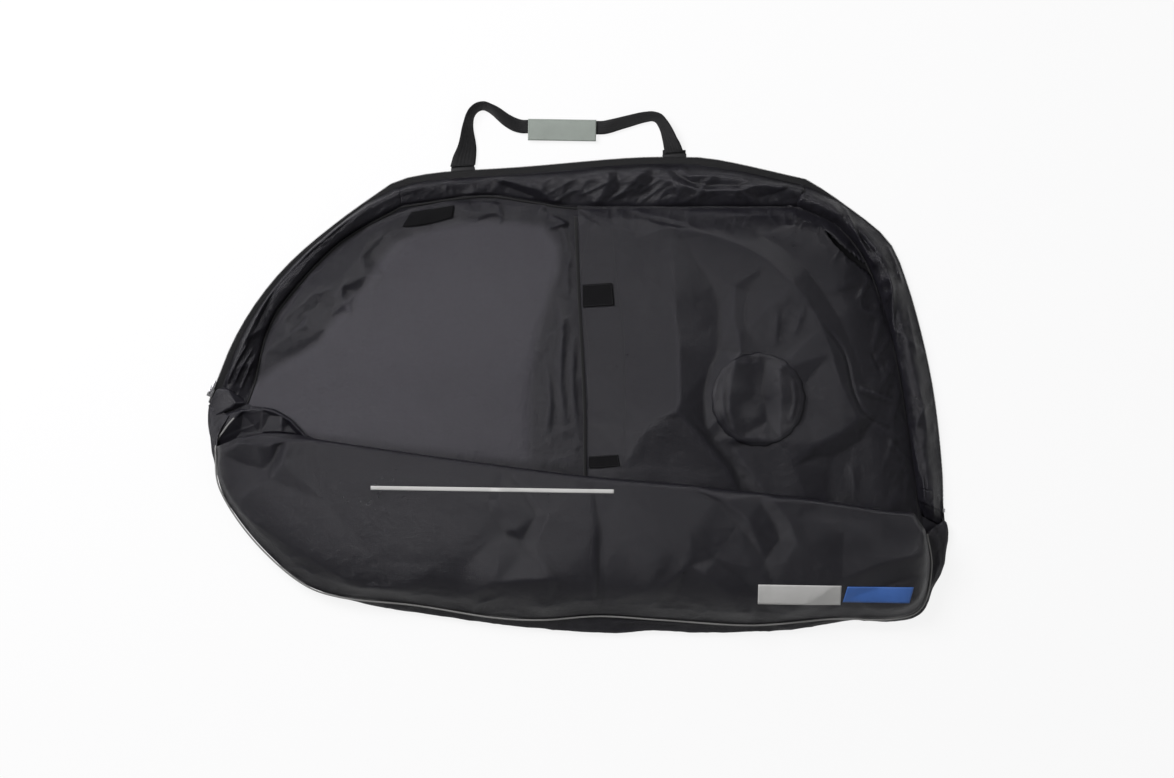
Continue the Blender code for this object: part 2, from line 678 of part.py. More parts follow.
def build_tabs(looks):
    """Two closing tabs on the pocket's mouth; the upper one is free to turn over."""
    upper_rows, hinge = tab_rows(TAB_PLACE_SHARES[0], TAB_LENGTH, TAB_WIDTH)
    upper = sheet("pocket_tab_upper", upper_rows, TAB_THICK, looks["dark"])
    carry(pivot_at("pocket_tab_axis", hinge), [upper])
    lower_rows, _ = tab_rows(TAB_PLACE_SHARES[1], TAB_LENGTH, LOWER_TAB_WIDTH)
    sheet("pocket_tab_lower", lower_rows, TAB_THICK, looks["dark"])


# Front panel

class FrontSection:
    """One upright section of the folded front panel, from its seam to its fold line."""

    def __init__(self, foot, fold, low_share):
        self.foot, self.fold = foot, fold
        self.run = float(np.linalg.norm(fold - foot))
        self.way = (fold - foot) / self.run
        self.third = TUCK_LIFT * low_share
        self.second = self.third + 2 * TUCK_RADIUS
        self.top = self.second + 2 * FOLD_RADIUS

    def point(self, along, height):
        """A point of the section from its distance along and its height."""
        return (*(self.foot + self.way * along), height)

    def top_height(self, share):
        """The height of the upper layer's middle at a share of its straight run."""
        return FRONT_SEAM_LIFT + (self.top - FRONT_SEAM_LIFT) * (1 - (1 - share) ** FRONT_EASE_POWER)

    def upper(self, share, drop=0.0):
        """A point of the upper layer, or of one that lies under it by a drop, square to it."""
        straight = self.run - FOLD_RADIUS
        steep = FRONT_EASE_POWER * (1 - share) ** (FRONT_EASE_POWER - 1)
        slope = (self.top - FRONT_SEAM_LIFT) * steep / straight
        scale = drop / math.hypot(slope, 1)
        return self.point(straight * share + slope * scale, self.top_height(share) - scale)

    def bend(self, along, height, radius, side):
        """Points round a fold, from the upper layer to the lower one."""
        turns = np.linspace(QUARTER_TURN, -QUARTER_TURN, ROUND_STEPS + 1)
        return [self.point(along + side * radius * math.cos(a), height + radius * math.sin(a))
                for a in turns]

    def shell(self):
        """The middle of the outer cloth: over, round the fold, back and under again."""
        rear = self.run * (1 - TUCK_SHARE)
        points = [self.upper(s) for s in FRONT_TOP_SHARES[:-1]]
        points += self.bend(self.run - FOLD_RADIUS, self.second + FOLD_RADIUS, FOLD_RADIUS, 1)
        points += self.bend(rear + TUCK_RADIUS, self.third + TUCK_RADIUS, TUCK_RADIUS, -1)
        points.append(self.point(self.run - TUCK_END, self.third))
        return points


def front_sections():
    """The sections of the front panel from the left tip to the right corner."""
    feet = spaced(curve(FRONT_SEAM_SHARES), FRONT_STATIONS)
    folds = spaced(curve(FOLD_SHARES), FRONT_STATIONS)
    middle = place(POCKET_MOUTH_SHARES[0])[0]
    sections = []
    for foot, fold in zip(feet, folds):
        share = float(np.interp(fold[0], [folds[0][0], middle], [LEFT_LIFT_SHARE, 1.0]))
        sections.append(FrontSection(foot, fold, share))
    return sections


def build_front(looks):
    """The front panel's outer cloth, foam and lining, with its piping and its half of the zip."""
    sections = front_sections()
    shell = sheet("front_panel", [s.shell() for s in sections], CLOTH, looks["shell"])
    foam_drop = CLOTH / 2 + GAP + PAD_CLEARANCE + FRONT_FOAM / 2
    lining_drop = foam_drop + FRONT_FOAM / 2 + PAD_CLEARANCE + LINING / 2
    inner = sections[PAD_TRIM_COUNT:-PAD_TRIM_COUNT]
    foam = sheet("front_foam_pad", [[s.upper(p, foam_drop) for p in PAD_SHARES] for s in inner],
                 FRONT_FOAM, looks["foam"])
    lining = sheet("front_lining", [[s.upper(p, lining_drop) for p in PAD_SHARES] for s in inner],
                   LINING, looks["lining"])
    pieces = [shell, foam, lining, build_piping(looks, sections)]
    pieces += build_front_zip(looks, sections)
    pieces += build_strips(looks, shell)
    low = min(float(s.foot[1]) for s in sections)
    carry(pivot_at("front_panel_axis", (0, low, FRONT_SEAM_LIFT)), pieces)


def build_piping(looks, sections):
    """The pale piping in the seam between the front panel and the base gusset."""
    feet = np.array([s.foot for s in sections])
    line = feet - outward(feet) * (PIPING_RADIUS + CLOTH)
    return tube("front_piping", raised(line, FRONT_SEAM_LIFT), PIPING_RADIUS, looks["piping"])


def build_front_zip(looks, sections):
    """The front panel's half of the zip, at the free edge of the tucked cloth."""
    inner = sections[PAD_TRIM_COUNT:-PAD_TRIM_COUNT]
    near = [s.point(s.run - TUCK_END + CLOTH, s.third) for s in inner]
    far = [s.point(s.run - TUCK_END + FRONT_TAPE_WIDTH, s.third) for s in inner]
    tape = sheet("front_zip_tape", [list(pair) for pair in zip(near, far)], TAPE_THICK, looks["tape"])
    out = FRONT_TAPE_WIDTH + COIL_RADIUS + COIL_CLEARANCE
    line = [s.point(s.run - TUCK_END + out, s.third) for s in inner]
    return [tape, tube("front_zip_coil", line, COIL_RADIUS, looks["coil"], sides=0)]


def height_over(obj):
    """A function that gives the height of an object's upper face over a plan point."""
    graph = bpy.context.evaluated_depsgraph_get()
    tree = BVHTree.FromObject(obj, graph)
    above = BAG_HEIGHT

    def height(point):
        hit = tree.ray_cast(Vector((*point, above)), Vector((0, 0, -1)))[0]
        return hit.z

    return height


def band(name, base, centre, size, lean, material):
    """A thin flat strip that lies on the front panel."""
    length, width = size
    lift = LAYER_CLEARANCE + STRIP_THICK / 2
    rows = []
    for v in BAND_SHARES:
        row = []
        for u in np.linspace(-0.5, 0.5, BAND_STATIONS):
            point = centre + np.array([u * length + v * width * lean,
                                       v * width + u * length * STRIP_SLOPE_SHARE])
            row.append((*point, base(point) + lift))
        rows.append(row)
    return sheet(name, rows, STRIP_THICK, material)


def build_strips(looks, shell):
    """A silver strip and two plain bars on the front panel."""
    base = height_over(shell)
    strip = (STRIP_LENGTH, STRIP_WIDTH)
    grey = (BAR_LENGTH, BAR_WIDTH)
    blue = (BLUE_BAR_LENGTH, BLUE_BAR_WIDTH)
    end = place(BAR_END_SHARE)
    right = end - np.array([BLUE_BAR_LENGTH / 2, 0])
    left = end - np.array([BLUE_BAR_LENGTH + BAR_GAP + BAR_LENGTH / 2, 0])
    return [band("silver_strip", base, place(STRIP_CENTRE_SHARE), strip, 0, looks["silver"]),
            band("grey_bar", base, left, grey, 0, looks["silver"]),
            band("blue_bar", base, right, blue, BAR_LEAN_SHARE, looks["blue"])]


# Carry strap

def strap_feet():
    """Where the two ends of the strap leave the gusset's edge."""
    line = curve(EDGE_TOP_SHARES)
    feet = []
    for share in STRAP_FOOT_SHARES:
        x = place((share, 0))[0]
        feet.append(np.array([x, float(np.interp(x, line[:, 0], line[:, 1])) + STRAP_STANDOFF]))
    return feet


def strap_line():
    """The strap's route in plan, and the directions along and away from its feet."""
    left, right = strap_feet()
    span = right - left
    away = np.array([-span[1], span[0]]) / np.linalg.norm(span)
    return smooth([left + span * a + away * STRAP_RISE * b for a, b in STRAP_ROUTE_SHARES])


def strap_rows():
    """The edges of the strap along its route, turned on edge where it bends."""
    line = spaced(strap_line(), STRAP_STATIONS)
    side = outward(line)
    left, right = strap_feet()
    side[-1] = (right - left) / np.linalg.norm(right - left)
    side[0] = -side[-1]
    rows = []
    for share, point, out in zip(np.linspace(0, 1, STRAP_STATIONS + 1), line, side):
        turn = np.interp(share, *zip(*STRAP_TURN_SHARES)) * QUARTER_TURN
        narrow = np.interp(share, *zip(*STRAP_NARROWING_SHARES))
        half = (STRAP_WIDTH + (STRAP_FOLDED_WIDTH - STRAP_WIDTH) * narrow) / 2
        rise = STRAP_LIFT + GRIP_LEAF + GRIP_CLEARANCE + STRAP_THICK / 2 + half * math.sin(turn)
        reach, climb = out * half * math.cos(turn), half * math.sin(turn)
        rows.append([(*(point - reach), rise - climb), (*(point + reach), rise + climb)])
    return rows


def build_strap(looks):
    """The webbing loop, its sewn ends, and the grip that wraps it."""
    strap = sheet("carry_strap", strap_rows(), STRAP_THICK, looks["webbing"])
    feet = strap_feet()
    height = STRAP_LIFT + GRIP_LEAF + GRIP_CLEARANCE + STRAP_THICK / 2
    middle = Vector((*((feet[0] + feet[1]) / 2), height))
    carry(pivot_at("strap_axis", middle), [strap])
    for name, foot in zip(("strap_anchor_left", "strap_anchor_right"), feet):
        build_anchor(looks, name, foot, feet[1] - feet[0])
    build_grip(looks, height)


def build_anchor(looks, name, foot, span):
    """The end of the strap, sewn flat under the gusset's edge."""
    across = Vector((*span, 0)).normalized()
    way = Vector((across.y, -across.x, 0))
    middle = Vector((*foot, ANCHOR_LIFT)) + way * (ANCHOR_LENGTH / 2 + ANCHOR_GAP)
    half = STRAP_WIDTH / 2
    profile = box_profile(-half, half, 0, ANCHOR_THICK)
    prism(name, profile, ANCHOR_LENGTH, (way, across, Vector((0, 0, 1)), middle), looks["webbing"])


def build_grip(looks, height):
    """The cloth grip: a folded sleeve under the strap and the leaf that closes over it."""
    left, right = strap_feet()
    span = right - left
    away = np.array([-span[1], span[0]]) / np.linalg.norm(span)
    ends = [left + span * a + away * STRAP_RISE * b for a, b in STRAP_ROUTE_SHARES
            if a in GRIP_PLACE_SHARES]
    along = Vector((*(ends[1] - ends[0]), 0)).normalized()
    across = Vector((-along.y, along.x, 0))
    centre = Vector((*((ends[0] + ends[1]) / 2), height))
    frame = (along, across, Vector((0, 0, 1)), centre)
    room = STRAP_THICK / 2 + GRIP_CLEARANCE
    outer = STRAP_FOLDED_WIDTH / 2 + GRIP_CLEARANCE
    far = outer - GRIP_WIDTH
    leaf_top = room + GRIP_LEAF
    profile = [(far, -leaf_top), (outer + GRIP_LEAF, -leaf_top), (outer + GRIP_LEAF, room),
               (outer, room), (outer, -room), (far, -room)]
    sleeve = prism("grip_sleeve", profile, GRIP_LENGTH, frame, looks["grip"])
    hinge_side = outer + GRIP_LEAF
    profile = box_profile(far, hinge_side, room + GAP, leaf_top + GAP)
    leaf = prism("grip_leaf", profile, GRIP_LENGTH, frame, looks["grip"])
    low = room - HOOK_STRIP_THICK
    profile = box_profile(far + GAP, far + HOOK_STRIP_WIDTH, low, room)
    hooks = prism("grip_hook_strip", profile, GRIP_LENGTH - GRIP_LEAF, frame, looks["dark"])
    profile = box_profile(far + GAP, far + HOOK_STRIP_WIDTH, -room + GAP, -room + HOOK_STRIP_THICK)
    loops = prism("grip_loop_strip", profile, GRIP_LENGTH - GRIP_LEAF, frame, looks["dark"])
    carry(pivot_at("grip_place", centre), [sleeve, loops])
    axis = centre + across * hinge_side + Vector((0, 0, room + GAP))
    carry(pivot_at("grip_leaf_axis", axis), [leaf, hooks])


def main():
    """Builds the bag."""
    clear_scene()
    looks = {
        "shell": finish("shell_nylon", (0.030, 0.030, 0.034), 0.55),
        "lining": finish("lining_cloth", (0.075, 0.073, 0.083), 0.65),
        "foam": finish("pad_foam", (0.18, 0.18, 0.18), 0.90),
        "tape": finish("binding_tape", (0.020, 0.020, 0.021), 0.80),
        "coil": finish("zip_coil", (0.014, 0.014, 0.015), 0.40),
        "metal": finish("zip_metal", (0.30, 0.30, 0.31), 0.35, 1.0),
        "dark": finish("hook_tape", (0.011, 0.011, 0.012), 0.90),
        "plastic": finish("guard_plastic", (0.020, 0.020, 0.020), 0.50),
        "piping": finish("piping", (0.36, 0.36, 0.34), 0.55),
        "silver": finish("reflective_silver", (0.52, 0.52, 0.50), 0.45),
        "blue": finish("blue_print", (0.05, 0.14, 0.42), 0.55),
        "webbing": finish("webbing", (0.020, 0.020, 0.020), 0.75),
        "grip": finish("grip_cloth", (0.33, 0.37, 0.33), 0.80),
    }
    build_back(looks)
    build_lining_patch(looks)
    build_gusset(looks)
    build_base_gusset(looks)
    build_zip(looks)
    build_slider(looks)
    build_pocket(looks)
    build_hub_guard(looks)
    build_tabs(looks)
    build_front(looks)
    build_strap(looks)


main()
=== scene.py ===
"""Dressed model of a soft travel bag for a bicycle, lying open on its back.

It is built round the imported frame, in metres: +X runs along the bag from its pointed end,
+Y towards the carry strap and +Z up. The lines of folds in plan are in millimetres, and the bag's
own curves in thousandths of its length and height.
"""
import logging
import math
from contextlib import contextmanager
from dataclasses import dataclass
from enum import Enum
from typing import Iterator, Optional, Sequence

import bmesh
import bpy
import numpy as np
from mathutils import Matrix, Vector
from mathutils.bvhtree import BVHTree
from mathutils.geometry import delaunay_2d_cdt


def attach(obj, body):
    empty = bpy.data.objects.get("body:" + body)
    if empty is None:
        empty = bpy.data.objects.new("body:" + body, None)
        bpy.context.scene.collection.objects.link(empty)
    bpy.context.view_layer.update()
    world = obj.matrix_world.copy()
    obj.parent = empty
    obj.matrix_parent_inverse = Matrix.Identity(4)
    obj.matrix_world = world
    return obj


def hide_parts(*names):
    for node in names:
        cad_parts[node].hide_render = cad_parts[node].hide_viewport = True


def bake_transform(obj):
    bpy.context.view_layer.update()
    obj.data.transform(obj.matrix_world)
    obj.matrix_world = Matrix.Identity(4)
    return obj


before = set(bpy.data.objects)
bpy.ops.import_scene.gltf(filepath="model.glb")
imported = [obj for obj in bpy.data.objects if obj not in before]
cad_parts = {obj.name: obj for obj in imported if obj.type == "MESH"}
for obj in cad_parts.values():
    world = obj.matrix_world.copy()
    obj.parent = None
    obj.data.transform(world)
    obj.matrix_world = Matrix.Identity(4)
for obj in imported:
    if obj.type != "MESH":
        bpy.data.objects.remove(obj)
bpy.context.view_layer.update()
LOG = logging.getLogger("bag")

Points = np.ndarray
Line = Sequence[tuple[float, float]]
Piece = bpy.types.Object
Mesh = bpy.types.Mesh
Socket = bpy.types.NodeSocket

MM = 0.001
SPLINE_STEPS = 12
NOISE_CELLS = 128
QUARTER_TURN = math.pi / 2
SHARP = math.radians(40)
WELD = 1e-6
LEAST_SIDE = 0.01
LEAST_AREA = 0.3
LIT_SIDE = np.array([-0.8, 0.6])


def smooth(points: Line) -> Points:
    """Draws a smooth curve through points.

    Args:
        points: the points that the curve passes.

    Returns:
        The curve, closely sampled.
    """
    p = np.array(points, float)
    p = np.vstack([2 * p[0] - p[1], p, 2 * p[-1] - p[-2]])
    made = []
    for a, b, c, d in zip(p[:-3], p[1:-2], p[2:-1], p[3:]):
        for t in np.linspace(0, 1, SPLINE_STEPS, endpoint=False):
            bend = (2 * a - 5 * b + 4 * c - d) * t ** 2 + (3 * b - a - 3 * c + d) * t ** 3
            made.append(b + ((c - a) * t + bend) / 2)
    made.append(p[-2])
    return np.array(made)


def lengths(line: Points) -> Points:
    """Returns the length along a line at each of its points."""
    steps = np.linalg.norm(np.diff(line, axis=0), axis=1)
    return np.concatenate([[0.0], np.cumsum(steps)])


def at(line: Points, shares: Sequence[float]) -> Points:
    """Finds points on a line.

    Args:
        line: the line.
        shares: where the points are, as shares of its length.

    Returns:
        One point for each share.
    """
    along = lengths(line)
    where = np.asarray(shares) * along[-1]
    return np.stack([np.interp(where, along, line[:, k]) for k in range(line.shape[1])], axis=1)


def spaced(line: Points, spans: int, start: float = 0.0, end: float = 1.0) -> Points:
    """Spaces points evenly along a line.

    Args:
        line: the line.
        spans: how many spans lie between the points.
        start: share of the length at the first point.
        end: share of the length at the last point.

    Returns:
        spans + 1 points.
    """
    return at(line, np.linspace(start, end, spans + 1))


def outward(line: Points) -> Points:
    """Returns unit vectors square to a plan line, on its left side."""
    d = np.gradient(line, axis=0)
    d /= np.linalg.norm(d, axis=1)[:, None]
    return np.stack([-d[:, 1], d[:, 0]], axis=1)


def ease(value: Points) -> Points:
    """Returns a smooth step from 0 to 1."""
    t = np.clip(value, 0, 1)
    return t * t * (3 - 2 * t)


def wander(x: Points, y: Points, size: float, seed: int) -> Points:
    """Smooth noise over the plan.

    Args:
        x: places along the bag.
        y: places across it.
        size: how far apart the noise's bumps are.
        seed: which noise it is.

    Returns:
        Values from -1 to 1.
    """
    count = NOISE_CELLS
    table = np.random.default_rng(seed).uniform(-1, 1, (count, count))
    u, v = x / size + count, y / size + count
    i, j = np.floor(u).astype(int), np.floor(v).astype(int)
    s, t = ease(u - i), ease(v - j)
    near = table[i % count, j % count] * (1 - s) + table[(i + 1) % count, j % count] * s
    far = table[i % count, (j + 1) % count] * (1 - s) + table[(i + 1) % count, (j + 1) % count] * s
    return near * (1 - t) + far * t


def crumple(x: Points, y: Points, size: float, seed: int, stretch: float = 1.0,
            turn: float = 0.0) -> Points:
    """Noise of sharp little ridges, like crushed cloth.

    Args:
        x: places along the bag.
        y: places across it.
        size: how far apart the ridges are.
        seed: which noise it is.
        stretch: how much longer than wide the ridges are.
        turn: the ridges' direction in degrees.

    Returns:
        Values from about 0 to 1.
    """
    c, s = math.cos(math.radians(turn)), math.sin(math.radians(turn))
    u, v = (x * c + y * s) / stretch, y * c - x * s
    drift = wander(x, y, size * 2.3, seed + 7) * size * 0.5
    first = 1 - np.abs(wander(u + drift, v - drift, size, seed))
    second = 1 - np.abs(wander(u - drift, v + drift, size * 0.47, seed + 1))
    return first ** 2 * 0.7 + second ** 2 * 0.3


class Shape(Enum):
    """How a fold's sides fall away from its crest."""

    ROUND = "round"
    SHARP = "sharp"


@dataclass(frozen=True)
class Fold:
    """One fold of cloth along a line in plan.

    Attributes:
        line: the crest, in millimetres.
        height: how high the crest stands in millimetres, or how deep if negative.
        lit: width of the side that faces up and left, in millimetres.
        shade: width of the other side, in millimetres.
        fade: share of the line over which the fold dies out at each end.
        shape: how the sides fall away.
    """

    line: Line
    height: float
    lit: float
    shade: float
    fade: float = 0.25
    shape: Shape = Shape.SHARP

    def crest(self) -> Points:
        """Returns the crest in metres, with the lit side on its left."""
        line = smooth(self.line) * MM
        chord = line[-1] - line[0]
        return line if np.dot([-chord[1], chord[0]], LIT_SIDE) >= 0 else line[::-1]

    def lift(self, x: Points, y: Points) -> Points:
        """Measures the fold over the plan.

        Args:
            x: places along the bag.
            y: places across it.

        Returns:
            The fold's height there, in metres.
        """
        crest = self.crest()
        apart, side, share = nearest(x, y, crest)
        width = np.where(side >= 0, self.lit, self.shade) * MM
        q = np.clip(apart / width, 0, 1)
        if self.shape is Shape.ROUND:
            wall = (1 + np.cos(q * math.pi)) / 2
        else:
            wall = (1 - np.sqrt(q * q * 0.98 + 0.0025 * (1 - q))) ** 2
        fade = max(self.fade, 1e-4)
        return self.height * MM * wall * ease(share / fade) * ease((1 - share) / fade)


def nearest(x: Points, y: Points, line: Points, most: int = 25) -> tuple[Points, Points, Points]:
    """Finds the nearest place on a line.

    Args:
        x: places along the bag.
        y: places across it.
        line: the line in plan.
        most: how many points of the line are used.

    Returns:
        The distance, 1 or -1 for the line's left or right side, and the share along it.
    """
    line = at(line, np.linspace(0, 1, min(len(line), most)))
    point = np.stack([x.ravel(), y.ravel()], axis=1)
    along = lengths(line)
    best = np.full(len(point), np.inf)
    side, share = np.zeros(len(point)), np.zeros(len(point))
    for k, (a, d) in enumerate(zip(line[:-1], np.diff(line, axis=0))):
        size = math.hypot(*d)
        rel = point - a
        t = np.clip(rel @ d / size ** 2, 0, 1)
        gap = np.linalg.norm(rel - t[:, None] * d, axis=1)
        nearer = gap < best
        best[nearer] = gap[nearer]
        side[nearer] = np.sign(d[0] * rel[:, 1] - d[1] * rel[:, 0])[nearer]
        share[nearer] = ((along[k] + t * size) / along[-1])[nearer]
    return best.reshape(x.shape), side.reshape(x.shape), share.reshape(x.shape)


def relief(x: Points, y: Points, folds: Sequence[Fold]) -> Points:
    """Adds up folds over the plan.

    Args:
        x: places along the bag.
        y: places across it.
        folds: the folds.

    Returns:
        Their height there, in metres.
    """
    total = np.zeros_like(x)
    for one in folds:
        total += one.lift(x, y)
    return total


@dataclass(frozen=True)
class Facets:
    """Cloth that hangs in flat facets between creases.

    Attributes:
        creases: lines of points, each with its place in plan and its height, if any, in
            millimetres.
        soft: how far the creases are rounded, in millimetres.
    """

    creases: tuple[Sequence[tuple[float, ...]], ...]
    soft: float

    def triangles(self) -> list[tuple[Points, Points]]:
        """Finds the facets between the creases.

        Returns:
            For each facet its corners in plan and their heights, in metres.
        """
        nodes = [(*p, 0.0)[:3] for line in self.creases for p in line]
        ties, start = [], 0
        for line in self.creases:
            ties += [(start + k, start + k + 1) for k in range(len(line) - 1)]
            start += len(line)
        flat = [Vector(p[:2]) for p in nodes]
        spots, _, faces, origin, _, _ = delaunay_2d_cdt(flat, ties, [], 0, 1e-3)
        places = np.array(nodes)
        heights = []
        for spot, kept in zip(spots, origin):
            if not kept:
                apart = np.linalg.norm(places[:, :2] - np.array(spot[:]), axis=1)
                kept = np.argsort(apart)[:3]
            heights.append(np.mean([nodes[i][2] for i in kept]))
        return [(np.array([spots[i][:] for i in face]) * MM,
                 np.array([heights[i] for i in face]) * MM) for face in faces]

    def sharp(self, x: Points, y: Points, triangles: list[tuple[Points, Points]]) -> Points:
        """Measures the facets over the plan, with sharp creases.

        Args:
            x: places along the bag.
            y: places across it.
            triangles: the facets.

        Returns:
            Their height there, in metres.
        """
        total = np.zeros_like(x)
        for corners, heights in triangles:
            low, high = corners.min(0) - 1e-9, corners.max(0) + 1e-9
            near = (x >= low[0]) & (x <= high[0]) & (y >= low[1]) & (y <= high[1])
            (ax, ay), (bx, by), (cx, cy) = corners
            whole = (by - cy) * (ax - cx) + (cx - bx) * (ay - cy)
            if not near.any() or abs(whole) < 1e-12:
                continue
            px, py = x[near], y[near]
            u = ((by - cy) * (px - cx) + (cx - bx) * (py - cy)) / whole
            v = ((cy - ay) * (px - cx) + (ax - cx) * (py - cy)) / whole
            w = 1 - u - v
            inside = (u >= -1e-6) & (v >= -1e-6) & (w >= -1e-6)
            value = total[near]
            value[inside] = (u * heights[0] + v * heights[1] + w * heights[2])[inside]
            total[near] = value
        return total

    def lift(self, x: Points, y: Points) -> Points:
        """Measures the facets over the plan.

        Args:
            x: places along the bag.
            y: places across it.

        Returns:
            Their height there, in metres, with rounded creases.
        """
        triangles = self.triangles()
        total = self.sharp(x, y, triangles) * 2
        for turn in np.arange(0, 6) * math.pi / 3:
            dx, dy = math.cos(turn), math.sin(turn)
            for reach in (0.5, 1.0):
                total += self.sharp(x + dx * self.soft * MM * reach, y + dy * self.soft * MM * reach,
                                    triangles)
        return total / 14


def patch(left: Points, right: Points, foot: Points, top: Points, across: Points,
          up: Points) -> Points:
    """Spreads a grid between four edges.

    Args:
        left: the left edge, one point for each share up.
        right: the right edge, likewise.
        foot: the lower edge, one point for each share across.
        top: the upper edge, likewise.
        across: shares from left to right.
        up: shares from foot to top.

    Returns:
        The grid, one row for each share up.
    """
    u, v = across[None, :, None], up[:, None, None]
    flat = (1 - v) * foot[None] + v * top[None] + (1 - u) * left[:, None] + u * right[:, None]
    corner = ((1 - u) * (1 - v) * foot[0] + u * (1 - v) * foot[-1]
              + (1 - u) * v * top[0] + u * v * top[-1])
    return flat - corner


@dataclass(frozen=True)
class Plan:
    """The bag's curves in plan, in thousandths of its length and height, and its cloth's levels."""

    length: float = 1.474
    height: float = 0.946
    right: float = 0.0026
    back: float = 0.057
    cloth: float = 0.0014
    lining_top: float = 0.008
    front_lift: float = 0.03
    piping: float = 0.0036
    coil_radius: float = 0.0016
    back_left: Line = ((-457, -36), (-442, 21), (-423, 138), (-392, 216), (-324, 326), (-240, 402))
    back_top: Line = ((-240, 402), (-132, 424), (-64, 412), (0, 399), (153, 397), (296, 400))
    back_right: Line = ((296, 400), (353, 357), (392, 281), (419, 159), (438, 32), (461, -222))
    back_base: Line = ((461, -222), (468, -338), (456, -429), (411, -459), (303, -470), (153, -476),
        (4, -472), (-132, -455), (-240, -430), (-322, -400), (-389, -335), (-444, -239), (-469, -142),
        (-472, -74), (-457, -36))
    edge_left: Line = ((-501, -15), (-490, 36), (-467, 116), (-434, 201), (-388, 285), (-323, 370),
        (-246, 455))
    edge_top: Line = ((-246, 455), (-186, 471), (-77, 482), (58, 500), (129, 503), (190, 497), (312, 455))
    edge_right: Line = ((312, 455), (366, 397), (419, 328), (444, 243), (467, 116), (483, -11),
        (493, -159), (494, -247))
    edge_base: Line = ((494, -262), (501, -283), (494, -362), (482, -397), (464, -459), (426, -477),
        (370, -473), (286, -493), (178, -499), (96, -495), (42, -499), (-66, -488), (-175, -467),
        (-284, -440), (-365, -400), (-419, -330), (-474, -224), (-491, -137), (-499, -64), (-500, -20))
    front_seam: Line = ((-488, -108), (-482, -195), (-440, -296), (-379, -385), (-322, -421),
        (-221, -438), (-119, -463), (-50, -469), (28, -461), (113, -469), (235, -480), (343, -467),
        (425, -467), (463, -442), (475, -362), (469, -292))
    tip_lip: Line = ((-484, -74), (-472, -42))
    fold: Line = ((-457, -89), (-427, -80), (-389, -80), (-328, -97), (-157, -135), (4, -167),
        (142, -186), (303, -214), (399, -237), (449, -245))
    mouth: Line = ((15, -428), (12, -159), (11, -11), (4, 201), (-1, 377))
    pocket_right: Line = ((434, -421), (452, -338), (447, -222), (424, 27), (406, 154), (379, 268),
        (343, 342), (293, 379))
    patch: Line = ((-238, 356), (-226, 387), (-168, 401), (-170, 376), (-185, 357))

    def place(self, share: tuple[float, float]) -> Points:
        """Returns a plan point from thousandths of the bag's length and height."""
        return np.array([share[0] / 1000 * self.length + self.right,
                         share[1] / 1000 * self.height - self.back])

    def curve(self, shares: Line) -> Points:
        """Returns the smooth plan curve through thousandths of the bag."""
        return smooth([self.place(s) for s in shares])

    def outline(self) -> Points:
        """Returns the closed seam line of the back, clockwise from its left tip."""
        pieces = (self.back_left, self.back_top, self.back_right, self.back_base)
        return np.vstack([self.curve(s)[:-1] for s in pieces] + [self.curve(self.back_left)[:1]])

    def zip_line(self) -> Points:
        """Lays out the open edge of the gusset.

        Returns:
            Its line in plan, straight where the slider runs.
        """
        pieces = [self.curve(s) for s in (self.edge_left, self.edge_top, self.edge_right)]
        line = np.vstack([pieces[0], pieces[1][1:], pieces[2][1:]])
        line = spaced(line, 720)
        return spaced(np.vstack([line[0], line[lengths(line) > 0.12]]), 60)

    def zip_corners(self) -> Points:
        """Returns the shares of the zip line at its start, its two corners and its end."""
        pieces = [lengths(self.curve(s))[-1] for s in (self.edge_left, self.edge_top, self.edge_right)]
        return np.concatenate([[0], np.cumsum(pieces)]) / sum(pieces)

    def pocket_seam(self) -> Points:
        """Returns the pocket's sewn edge, from the mouth's foot round to the mouth's top."""
        mouth = self.curve(self.mouth)
        return np.vstack([mouth[:1], self.curve(self.pocket_right), mouth[-1:]])


PLAN = Plan()


@contextmanager
def editing(mesh: Mesh, source: Optional[Mesh] = None) -> Iterator[bmesh.types.BMesh]:
    """Opens a mesh for editing, and writes it back at the end.

    Args:
        mesh: the mesh that is written.
        source: the mesh that it starts from, where that is another.

    Returns:
        What the with statement takes, the mesh in its editable form.
    """
    bm = bmesh.new()
    bm.from_mesh(source or mesh)
    yield bm
    bm.to_mesh(mesh)
    bm.free()


def linked(name: str, data: bpy.types.ID) -> Piece:
    """Makes an object of a mesh, camera or lamp and links it to the scene."""
    made = bpy.data.objects.new(name, data)
    bpy.context.scene.collection.objects.link(made)
    return made


def sheet_mesh(points: Points, closed: bool = False) -> Mesh:
    """Makes a grid whose vertices lie at given points, with a map of it in metres.

    Args:
        points: rows of points, as an array of rows by columns by 3.
        closed: whether each row's last point joins its first.

    Returns:
        The mesh.
    """
    rows, columns = points.shape[:2]
    across = np.linalg.norm(np.diff(points, axis=1), axis=2).mean(0)
    up = np.linalg.norm(np.diff(points, axis=0), axis=2).mean(1)
    u = np.concatenate([[0], np.cumsum(across)])
    v = np.concatenate([[0], np.cumsum(up)])
    mesh = bpy.data.meshes.new("grid")
    with editing(mesh) as bm:
        bmesh.ops.create_grid(bm, x_segments=columns - 1, y_segments=rows - 1, size=1.0)
        layer = bm.loops.layers.uv.new("cloth")
        bm.verts.ensure_lookup_table()
        flat = points.reshape(-1, 3)
        for index, vertex in enumerate(bm.verts):
            vertex.co = flat[index]
            row, column = divmod(index, columns)
            for loop in vertex.link_loops:
                loop[layer].uv = (u[column], v[row])
        if closed:
            bmesh.ops.remove_doubles(bm, verts=bm.verts, dist=WELD)
    return mesh


